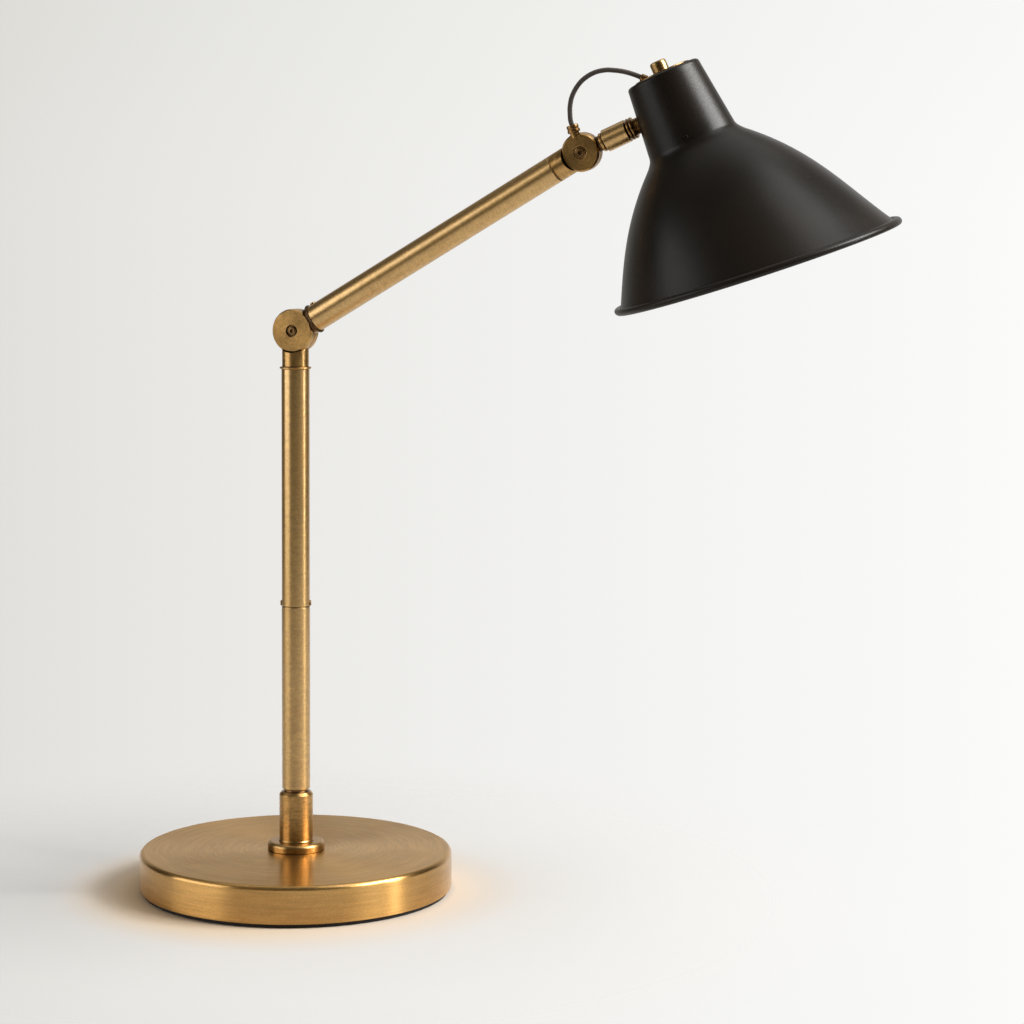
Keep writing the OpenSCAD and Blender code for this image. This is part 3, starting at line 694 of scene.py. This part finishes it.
piece(turned("spigot", [
    (2.4, 80, 0.2), (2.4, 3.1), (4.3, 3.1, 0.3), (3.6, 3.6), (3.6, 4.5), (4.3, 4.5), (4.3, 37.05),
    (7.15, 37.05, 0.3), (7.15, TUBE_FOOT - 1.6, 0.1), (6.75, TUBE_FOOT - 1.2, 0.3),
    (6.75, TUBE_FOOT - 0.4, 0.3), (7.15, TUBE_FOOT), (7.0, TUBE_FOOT), (7.0, 80, 0.4)], FLOOR),
    "post", screw_brass, "brushed_brass", "post_spigot")
piece(turned("lower_tube", tube(LOWER_R, POST_BORE, TUBE_FOOT, SEAM - 0.2, 0.35), FLOOR),
      "post", tube_brass, "brushed_brass", "lower_post_tube")

# the two screws of the coupler inside the seam, left and right of the post as the camera sees it
COUPLER = [Matrix.Translation((0, 0, (SEAM + 1.6) * MM)) @ Matrix.Rotation(rad(turn), 4, "Z") @ TO_X
           for turn in (20, 200)]
upper = turned("upper_tube", tube(UPPER_R, POST_BORE, SEAM + 0.2, POST_TOP, 0.3), FLOOR)
for m in COUPLER:
    boolean(upper, cylinder(1.65, 6, 12, m, 48))
piece(upper, "post", tube_brass, "brushed_brass", "upper_post_tube")
piece(turned("neck_band", [
    (POST_BORE, POST_TOP), (9.05, POST_TOP, 0.55), (9.05, POST_TOP + 1.2, 0.55),
    (POST_BORE, POST_TOP + 1.2)], FLOOR),
    "post", joint_brass, "brushed_brass", "neck_ring")


def socket_screw(name, matrix, head_r, z0, z1, socket_r, shank_r, shank_z, dome=0.0):
    """A round-headed screw, its head from z0 to z1, with a hexagon socket in the head."""
    obj = turned(name, [
        (0, shank_z), (shank_r, shank_z, 0.2), (shank_r, z0), (head_r, z0, 0.15), (head_r, z1 - dome, 0.3),
        (0.84 * head_r, z1 - dome / 2, 0.1), (0.76 * head_r, z1 - dome - 0.35, 0.05),
        (0.70 * head_r, z1 - 0.05, 0.1), (0, z1 - 0.05)], matrix, 72)
    return boolean(obj, make("cutter", *hexagon(socket_r, z1 - 1.2, z1 + 1), matrix))


SLOT = [(-2, -0.22), (2, -0.22), (2, 0.22), (-2, 0.22)]
for i, m in enumerate(COUPLER):
    screw = turned("coupler_screw_%d" % (i + 1), [
        (0, 5.5), (1.15, 5.5, 0.2), (1.15, 7.5), (1.6, 7.5), (1.6, 8.8, 0.5), (0, 8.8)], m, 48)
    boolean(screw, make("cutter", *extrude(SLOT, 8.35, 9.5), m))
    piece(screw, "post", screw_brass, "dark_brass")
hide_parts("coupler_screws")

# ---------------------------------------------------------------- knuckles


def knuckle(name, matrix, disc_r, depth, neck, turn=TO_X):
    """Half of a hinge: a disc about the pin with a recess for the screw, and a coped neck.
    neck lists (radius, distance) pairs from the pin outwards, and turn lays it along the disc's X or against it.
    The piece's Z is the pin's axis, towards the outer face."""
    face = depth / 2
    obj = turned(name, [
        (6, LAP, 0.1), (disc_r, LAP, 0.2), (disc_r, face - 1.3, 0.1), (disc_r - 0.85, face, 0.15),
        (3.45, face, 0.25), (3.45, face - 1.5, 0.05), (2.05, face - 1.5), (2.05, face - 2.2), (6, face - 2.2)],
        matrix, 160)
    body = turned("neck", neck, matrix @ turn)
    boolean(body, cylinder(disc_r + 0.4, -20, LAP + 0.03, matrix, 160))
    boolean(body, cylinder(disc_r - 0.03, face - 1.35, 20, matrix, 144))
    boolean(body, cylinder(8.0, -20, 20, matrix))
    boolean(obj, body, "UNION")
    return brush_knuckle(obj, disc_r, turn)


def brush_knuckle(obj, disc_r, turn):
    """Brush lines round the pin on the disc, and round the neck on the neck."""
    co = np.array([v.co for v in obj.data.vertices])
    mark(obj)
    mark(obj, turn, np.hypot(co[:, 0], co[:, 1]) > (disc_r + 0.3) * MM)
    return obj


def shaded_neck_half(half, start, body, node):
    """A hinge's half whose neck is dark brass from start on, along the place's X: painted shade in the gap
    beside the disc.
    """
    # faces past start get the dark brass, as painted shade where the neck sits in shadow
    dark = [int(f.center.x > start * MM) for f in half.data.polygons]
    two_tone(half, dark, body, [joint_brass, dark_brass], "brushed_brass", node)


# the lower half's place has its X down
lower_neck = [(0, 0), (7.6, 0), (7.6, 20.35, 0.25), (7.0, 20.4), (7.0, 42.4, 0.4), (0, 42.4)]
piece(knuckle("elbow_lower", ELBOW @ TO_X @ TO_FRONT, ELBOW_R, ELBOW_DEPTH, lower_neck),
      "post", joint_brass, "brushed_brass", "elbow_lower_knuckle")
upper_neck = [(0, 0), (7.6, 0), (7.6, 12.9, 0.2), (6.65, 12.9), (6.65, 36, 0.4), (0, 36)]
shaded_neck_half(knuckle("elbow_upper", ARM @ TO_REAR, ELBOW_R, ELBOW_DEPTH, upper_neck),
            11.6, "arm", "elbow_upper_knuckle")


def pin_set(tag, matrix, depth, disc_r, head_r, body, nodes):
    """Washer between the halves, the screw in the front recess and the nut in the rear one."""
    face = depth / 2
    front, rear = matrix @ TO_FRONT, matrix @ TO_REAR
    washer_node, bolt_node, nut_node = nodes
    piece(turned(tag + "_spacer", [
        (6.3, -0.25, 0.05), (disc_r - 1.2, -0.25, 0.1), (disc_r - 1.2, LAP, 0.1), (6.3, LAP, 0.05)], front),
        body, fibre, "fibre_washer", washer_node)
    screw = socket_screw(tag + "_screw", front, head_r, face - 1.45, face - 0.1, 1.3, 2.0, -face - 0.5, 0.25)
    piece(screw, body, screw_brass, "dark_brass", bolt_node)
    nut = turned(tag + "_nut", [
        (2.0, face - 1.35), (3.1, face - 1.35), (3.1, face + 0.7, 0.45), (2.0, face + 0.7, 0.15)], rear, 72)
    boolean(nut, make("cutter", *hexagon(3.1, face - 2, face + 2), rear), "INTERSECT")
    piece(nut, body, screw_brass, "dark_brass", nut_node)


pin_set("elbow_pin", ELBOW, ELBOW_DEPTH, ELBOW_R, 2.5, "post", ("elbow_washer", "elbow_bolt", "elbow_nut"))

# ---------------------------------------------------------------- arm

piece(turned("arm_band", [
    (ARM_BORE, 12.95), (ARM_R + 1, 12.95, 0.6), (ARM_R + 1, 14.3, 0.6), (ARM_BORE, 14.3)], ARM @ TO_X),
    "arm", dark_brass, "brushed_brass", "arm_ring")
arm = turned("arm_pipe", tube(ARM_R, ARM_BORE, ARM_START, ARM_END, 0.3), ARM @ TO_X)
GRUB = ARM @ Matrix.Translation((17 * MM, 0, 0))
boolean(arm, cylinder(1.55, 5, 12, GRUB, 48))
piece(arm, "arm", tube_brass, "brushed_brass", "arm_tube")
piece(socket_screw("grub_screw", GRUB, 1.5, 7.3, 8.6, 0.7, 1.15, 5, 0.2),
      "arm", screw_brass, "dark_brass", "arm_grub_screw")

# ---------------------------------------------------------------- wrist

wrist_neck = [
    (0, 0), (7.7, 0), (7.7, 16.6, 0.1), (7.35, 16.8, 0.1), (7.35, 17.1, 0.1), (7.7, 17.3, 0.1),
    (7.7, 17.5, 0.1), (5.15, 17.5), (5.15, 34.6), (4.5, 34.6), (4.5, 35.6), (5.15, 35.6), (5.15, 36.5, 0.4),
    (0, 36.5)]
wrist_half = knuckle("wrist_arm_half", WRIST @ TO_FRONT, WRIST_R, WRIST_DEPTH, wrist_neck, TO_MINUS_X)
ARM_RISE, GLAND_LEAN = 30.5, 18    # degrees of the arm above level, and of the gland back from upright
GLAND = WRIST @ Matrix.Translation((0, -2.7 * MM, 0)) @ Matrix.Rotation(rad(ARM_RISE - GLAND_LEAN), 4, "Y")
boolean(wrist_half, cylinder(2.6, 8.5, 11.25, GLAND, 64), "UNION")
brush_knuckle(wrist_half, WRIST_R, TO_MINUS_X)
piece(wrist_half, "wrist", joint_brass, "brushed_brass", "wrist_arm_knuckle")
pin_set("wrist_pin", WRIST, WRIST_DEPTH, WRIST_R, 3.15, "wrist", ("wrist_washer", "wrist_bolt", "wrist_nut"))

piece(turned("gland_body", [
    (1.45, 11.2), (3.5, 11.2, 0.35), (3.5, 12.9, 0.3), (3.1, 13.05), (3.1, 13.4), (1.45, 13.4)], GLAND, 96),
    "wrist", screw_brass, "brushed_brass", "cord_gland")
piece(turned("gland_cap", [(1.4, 13.4), (3.3, 13.4, 0.3), (3.3, 15.5, 0.7), (1.4, 15.5, 0.2)], GLAND, 96),
      "wrist", screw_brass, "brushed_brass", "gland_nut")

# ---------------------------------------------------------------- head

head_neck = [(0, 0), (4.25, 0), (4.25, 28.2, 0.2), (3, 28.2), (3, 18), (0, 18)]
shaded_neck_half(knuckle("wrist_head_half", STEM @ TO_REAR, WRIST_R, WRIST_DEPTH, head_neck),
            10.4, "head", "wrist_head_knuckle")
piece(turned("stem_band", [(4.35, 12.1), (5.2, 12.1, 0.5), (5.2, 13.8, 0.5), (4.35, 13.8)], STEM_X, 96),
      "head", joint_brass, "brushed_brass", "stem_collar")
piece(turned("stem_barrel", [(4.35, 14.5), (6.2, 14.5, 0.3), (6.2, 28.2, 0.3), (4.35, 28.2)], STEM_X, 112),
      "head", tube_brass, "brushed_brass", "stem_sleeve")
for i, x in enumerate((29.1, 31.0)):
    ring = turned("lock_ring_%d" % (i + 1), [
        (4.6, x), (6.0, x, 0.4), (6.0, x + 1.2, 0.4), (4.6, x + 1.2)], STEM_X, 96)
    piece(ring, "head", screw_brass, "brushed_brass")
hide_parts("stem_lock_rings")
stud = [(0, 19), (2.95, 19, 0.2), (2.95, 28.3), (4.5, 28.3)]
for x in np.arange(28.4, 41.3, 0.8):
    stud += [(4.57, x), (4.30, x + 0.4)]
stud += [(4.3, 41.5, 0.1), (0, 41.5)]
piece(turned("stem_thread", stud, STEM_X, 96), "head", screw_brass, "dark_brass", "stem_stud")
nut = turned("stem_back_nut", [(4.58, 38.3), (6.6, 38.3, 0.5), (6.6, 40.9, 0.5), (4.58, 40.9)], STEM_X, 96)
boolean(nut, make("cutter", *hexagon(6.6, 38, 41), STEM_X), "INTERSECT")
piece(nut, "head", zinc, "zinc_steel", "stem_nut")

# ---------------------------------------------------------------- shade

SHOULDER = (CUP_FOOT_R, -CUP_H)
MOUTH = (MOUTH_R, -CUP_H - DOME_H)
# The dome's profile leaves the shoulder flat and reaches the mouth steep: how far down or up each end of
# the curve pulls, and how far out or in for each millimetre of that.
SHOULDER_PULL, SHOULDER_SPREAD = 29.8, 1.17
MOUTH_PULL, MOUTH_SPREAD = 29, 0.66
CURVE = [np.array(q) for q in (
    SHOULDER, (CUP_FOOT_R + SHOULDER_PULL * SHOULDER_SPREAD, -CUP_H - SHOULDER_PULL),
    (MOUTH_R - MOUTH_PULL * MOUTH_SPREAD, -CUP_H - DOME_H + MOUTH_PULL), MOUTH)]
SLANT = math.tan(rad(6.35))                        # of the rim's plane
RIM_Z = -CUP_H - 72.4                              # of that plane at the shade's axis
CUP_LEAN = math.atan((CUP_FOOT_R - CUP_R) / CUP_H)


def dome(t):
    t = np.asarray(t, float)[..., None]
    a, b, c, d = CURVE
    return (1 - t) ** 3 * a + 3 * (1 - t) ** 2 * t * b + 3 * (1 - t) * t * t * c + t ** 3 * d


def dome_normal(t):
    e = 1e-3
    d = dome(np.clip(np.asarray(t) + e, 0, 1)) - dome(np.clip(np.asarray(t) - e, 0, 1))
    n = np.stack([-d[..., 1], d[..., 0]], -1)
    return n / np.linalg.norm(n, axis=-1)[..., None]


def rim_t(angle):
    """Where the dome meets the slanted plane of the rim, at each angle."""
    lo, hi = np.zeros_like(angle), np.ones_like(angle)
    for _ in range(40):
        mid = (lo + hi) / 2
        p = dome(mid)
        below = p[..., 1] < RIM_Z - SLANT * p[..., 0] * np.cos(angle)
        lo, hi = np.where(below, lo, mid), np.where(below, mid, hi)
    return (lo + hi) / 2


def between(a, b, t):
    return np.array(a) + (np.array(b) - np.array(a)) * t


def shade_mesh(segments=256, steps=70):
    """The spun shade: cup, shoulder and slanted dome, outside and inside, and which faces are inside."""
    angle = circle(segments)
    end = rim_t(angle)
    rows = []

    def ring(r, z):
        r, z = np.broadcast_to(r, angle.shape), np.broadcast_to(z, angle.shape)
        rows.append(np.stack([r * np.cos(angle), r * np.sin(angle), z], -1))

    # the cup's top, its rounded edge and its wall
    ring(5.1, 0)
    ring(12.0, 0)
    edge = 2
    for k in range(9):
        a = rad(90) + (CUP_LEAN - rad(90)) * k / 8
        ring(CUP_R - edge + edge * math.cos(a), -edge + edge * math.sin(a))
    top = (CUP_R - edge + edge * math.cos(CUP_LEAN), -edge + edge * math.sin(CUP_LEAN))
    turn_in, turn_out = 0.93, 0.05     # where the shoulder's turn starts on the wall and ends on the dome
    for k in range(1, 14):
        ring(*between(top, SHOULDER, k / 14 * turn_in))
    p0, p1, p2 = between(top, SHOULDER, turn_in), np.array(SHOULDER), dome(turn_out)
    for k in range(8):
        t = k / 7
        ring(*((1 - t) ** 2 * p0 + 2 * t * (1 - t) * p1 + t * t * p2))
    for k in range(1, steps + 1):
        ring(*dome(turn_out + (end - turn_out) * k / steps).T)
    outer = len(rows)
    # back up the inside, a wall's thickness in
    for k in range(steps, -1, -1):
        t = 0.03 + (end - 0.03) * k / steps
        ring(*(dome(t) - WALL * dome_normal(t)).T)
    ring(CUP_FOOT_R - WALL, -CUP_H - 0.3)
    ring(CUP_FOOT_R - WALL - 0.1, WALL - CUP_H)
    for k in range(1, 8):
        ring(*between((CUP_R - 0.9, -2.4), (CUP_FOOT_R - WALL - 0.1, WALL - CUP_H), 1 - k / 7))
    ring(CUP_R - 2, -WALL - 0.15)
    ring(CUP_R - 3, -WALL)
    ring(5.1, -WALL)
    faces = [(a, d, c, b) for a, b, c, d in bands(len(rows), segments, closed=True)]
    inside = [0] * (outer * segments) + [1] * ((len(rows) - outer) * segments)
    return np.concatenate(rows), faces, inside


verts, faces, inside = shade_mesh()
shade = make("bell_shade", verts, faces, SHADE, 50)
two_tone(shade, inside, "head", [black_coat, inner_coat], "black_paint", "shade")


def bead_mesh(segments=288, sides=28, r=2.1, out=1.2):
    """The bead rolled round the rim: r is its radius, and out its centre's distance outside the dome."""
    angle = circle(segments)
    p = dome(rim_t(angle))
    ring_r = p[:, 0] + out
    z = RIM_Z - SLANT * p[:, 0] * np.cos(angle)
    centre = np.stack([ring_r * np.cos(angle), ring_r * np.sin(angle), z], -1)
    radial = np.stack([np.cos(angle), np.sin(angle), -SLANT * np.cos(angle)], -1)
    k = circle(sides)[None, :, None]
    co = centre[:, None] + r * np.cos(k) * radial[:, None] + r * np.sin(k) * np.array([0, 0, 1.0])
    return co.reshape(-1, 3), bands(segments, sides, closed=True)


piece(make("rolled_rim", *bead_mesh(), SHADE, 60), "head", black_coat, "black_paint", "rim_bead")

# the brass plate on the cup, and the elbow that the cord goes in by
cap = turned("top_plate", [(5, 0), (15.6, 0, 0.1), (15.6, 0.8, 0.4), (5, 0.8, 0.15)], SHADE, 160)
FOOT = SHADE @ Matrix.Translation((-9.2 * MM, 0, 0))
boolean(cap, cylinder(2.2, -5, 5, FOOT, 64))
piece(cap, "head", screw_brass, "brushed_brass", "cup_cap")
BARREL = FOOT @ Matrix.Translation((0, 0, 0.8 * MM)) @ Matrix.Rotation(rad(-45), 4, "Y")
ferrule = turned("ferrule", [
    (1.0, -0.6), (2.1, -0.6), (2.1, 0.8), (2.5, 0.8), (2.5, 1.4, 0.3), (1.0, 1.4)], FOOT, 96)
barrel = turned("barrel", [
    (0, 0.0), (2.1, 0.0), (2.1, 3.2, 0.5), (1.4, 3.2, 0.2), (1.4, 2.6), (0, 2.6)], BARREL, 96)
boolean(barrel, cylinder(14, -5, 0.85, SHADE))
boolean(ferrule, barrel, "UNION")
piece(ferrule, "head", screw_brass, "dark_brass", "cord_ferrule")

# the screw low on the cup's front, square to its wall
SCREW_TURN, SCREW_DROP = -82, 36.5
wall_r = CUP_R + (CUP_FOOT_R - CUP_R) * SCREW_DROP / CUP_H
SCREW = (SHADE @ Matrix.Rotation(rad(SCREW_TURN), 4, "Z")
         @ Matrix.Translation((wall_r * MM, 0, -SCREW_DROP * MM))
         @ Matrix.Rotation(rad(90) - CUP_LEAN, 4, "Y"))
head = turned("side_screw", [
    (0, -3), (0.7, -3, 0.2), (0.7, 0.02), (1.1, 0.02), (1.1, 0.5, 0.25), (0, 0.5)], SCREW, 64)
boolean(head, make("cutter", *hexagon(0.5, 0.2, 2), SCREW))
piece(head, "head", black_coat, "black_screw", "shade_screw")

# ---------------------------------------------------------------- lampholder and bulb

piece(turned("switch_housing", [
    (1.6, -15), (11.2, -15, 0.7), (11.2, -1.2, 0.7), (4.95, -1.25), (4.95, 0.8, 0.2), (1.6, 0.8, 0.1)], SHADE),
    "head", black_plastic, "black_plastic", "switch_body")
outline = [(0, -24), (0, -15), (9, -15, 0.3), (9, -21), (13, -21, 1.2)]
for z in (-30, -36, -42):
    outline += [(13, z + 1, 0.2), (14, z + 1, 0.3), (14, z - 1, 0.3), (13, z - 1, 0.2)]
outline += [(13, -47, 0.8), (7.2, -47, 0.4), (7.2, -24)]
piece(turned("holder", outline[::-1], SHADE, 144), "head", black_plastic, "black_plastic", "lampholder")

thread = [(0, -55), (6.9, -55)]
for z in np.arange(-52, -30, 1.4):
    thread += [(6.9, z, 0.2), (6.45, z + 0.7, 0.2)]
thread += [(6.5, -28, 0.5), (3, -26, 0.2), (3, -24.2, 0.4), (0, -24.2)]
piece(turned("bulb_thread", thread, SHADE, 96), "head", cap_metal, "bulb_cap_metal", "bulb_cap")

BULB_R, BULB_Z, BULB_NECK = 22.5, -79, 8
start = math.pi / 2 - math.asin(BULB_NECK / BULB_R)
globe = [(0, -55), (BULB_NECK - 0.1, -55, 0.3), (BULB_NECK, -56.5)]
for k in range(1, 49):
    a = start + (-math.pi / 2 - start) * k / 48
    globe.append((max(0.0, BULB_R * math.cos(a)), BULB_Z + BULB_R * math.sin(a)))
piece(turned("bulb_globe", globe[::-1], SHADE), "head", glass, "bulb_glass", "bulb_glass")

# ---------------------------------------------------------------- knob

piece(turned("switch_knob_turned", [
    (1.55, 1.2, 0.1), (4.5, 1.2, 0.3), (4.5, 7.1, 1.3), (0, 7.1), (0, 5.2), (1.55, 5.2)], SHADE, 144, steps=8),
    "knob", knob_brass, "brushed_brass", "switch_knob")

# ---------------------------------------------------------------- CAD nodes that stay

for name, mat in {
    "base_weight": iron, "base_washer": zinc, "base_nut": zinc, "swivel_washer": nylon, "spigot_clip": zinc,
    "post_coupler": hidden_brass, "swivel_bush": nylon, "swivel_clip": zinc, "knob_spindle": zinc,
}.items():
    mesh = frame["nodes"][name].data
    mesh.materials.clear()
    mesh.materials.append(mat)

# ---------------------------------------------------------------- stage and light

FLOOR_HALF, FLOOR_Z = 2800, -0.05


def floor_material():
    """Pale paper, painted a little lighter to the right as painted light, and painted warm and darker round the
    base as the base's shadow and the light bounced off its brass; it fades into the background away from the
    lamp.
    """
    m = material("stage_floor")
    p = m.coords()
    x, y, _ = m.split(p)
    r = m.reach(x, y)
    across = m.along(p, level)
    # painted light: the paper is a little lighter towards the right
    rightward = m.ramp(across, -0.35, 0.35, 0.0, 1.0, smooth=False)
    col = m.mix(rightward, (0.585, 0.577, 0.559), (0.61, 0.605, 0.593))
    # painted shadow and bounced light: warm and darker beside the base, most on the left
    warm = m.mix(m.ramp(across, -0.12, 0.10, 0.0, 1.0), (0.64, 0.46, 0.26), (0.64, 0.56, 0.47))
    col = m.mix(m.ramp(r, 0.088, 0.145, 0.85, 0.0), col, warm)
    m.set(Base_Color=col, Roughness=0.9, Specular_IOR_Level=0.1)
    clear = m.node("ShaderNodeBsdfTransparent")
    both = m.node("ShaderNodeMixShader")
    seen = m.node("ShaderNodeLightPath").outputs["Is Camera Ray"]
    under = m.node("ShaderNodeNewGeometry").outputs["Backfacing"]
    near = m.math("MULTIPLY", m.math("MAXIMUM", m.ramp(r, 0.12, 0.38, 0.0, 1.0), under), seen)
    m.put(both.inputs[0], m.math("MAXIMUM", near, m.ramp(r, 0.7, 1.6, 0.0, 1.0)))
    m.put(both.inputs[1], m.bsdf.outputs[0])
    m.put(both.inputs[2], clear.outputs[0])
    m.put(m.tree.nodes["Material Output"].inputs[0], both.outputs[0])
    return m.owner


corners = [(x * FLOOR_HALF, y * FLOOR_HALF, FLOOR_Z) for x, y in ((-1, -1), (1, -1), (1, 1), (-1, 1))]
floor = make("stage_floor", corners, [(0, 1, 2, 3)], FLOOR)
floor.data.materials.append(floor_material())


def softbox(name, where, target, size, power, colour=(1, 1, 1)):
    """A rectangular light, of a size in metres, that faces its target. The camera doesn't see it."""
    data = bpy.data.lights.new(name, "AREA")
    data.shape = "RECTANGLE"
    data.size, data.size_y = size
    data.energy = power
    data.color = colour
    obj = bpy.data.objects.new(name, data)
    bpy.context.scene.collection.objects.link(obj)
    z = (Vector(where) - Vector(target)).normalized()
    x = Vector((0, 0, 1)).cross(z).normalized()
    obj.matrix_world = axes(x, z.cross(x), z, where)
    obj.visible_camera = False


POST_MIDDLE = (0.05, 0, 0.20)
softbox("key", (2.15, 0.26, 1.80), POST_MIDDLE, (1.6, 0.9), 102, (1, 0.985, 0.965))
softbox("edge", (2.50, 0.42, 0.60), POST_MIDDLE, (0.28, 1.2), 14)
softbox("fill", (-1.35, -1.10, 0.62), POST_MIDDLE, (1.5, 1.2), 15, (1, 0.99, 0.98))
softbox("top", (-0.1, 0.5, 1.9), (0.05, 0, 0.1), (1.8, 1.2), 6)
softbox("high", (1.24, 0, 2.15), (0.25, 0, 0.35), (1.2, 1.2), 13)

world = bpy.data.worlds.new("studio")
bpy.context.scene.world = world
w = Nodes(world)
direction = w.node("ShaderNodeTexCoord").outputs["Generated"]
height = w.split(direction)[2]
behind_lamp = Vector((-math.sin(AZIMUTH), math.cos(AZIMUTH), 0))
# what the camera sees: a backdrop that brightens to the right and upwards
side = w.math("POWER", w.ramp(w.along(direction, level), -0.20, 0.20, 0.0, 1.0, smooth=False), 0.7)
low = w.mix(side, (0.735, 0.725, 0.69), (0.965, 0.965, 0.96))
high = w.mix(side, (0.70, 0.695, 0.65), (0.945, 0.945, 0.935))
seen = w.mix(w.ramp(height, 0.0, 0.10, 0.0, 1.0), low, high)
# the room that the metal reflects: dark towards the camera, pale behind the lamp and grey above
pale = w.mix(side, (0.50, 0.485, 0.45), (0.85, 0.845, 0.83))
room = w.mix(w.ramp(w.along(direction, behind_lamp), 0.55, 0.97, 0.0, 1.0), (0.036, 0.031, 0.026), pale)
room = w.mix(w.ramp(height, 0.25, 0.95, 0.0, 1.0), room, (0.16, 0.157, 0.152))
camera_ray = w.node("ShaderNodeLightPath").outputs["Is Camera Ray"]
w.put(w.tree.nodes["Background"].inputs[0], w.mix(camera_ray, room, seen))

scene = bpy.context.scene
scene.view_settings.view_transform = "Standard"
scene.cycles.use_denoising = True
scene.cycles.sample_clamp_indirect = 6.0
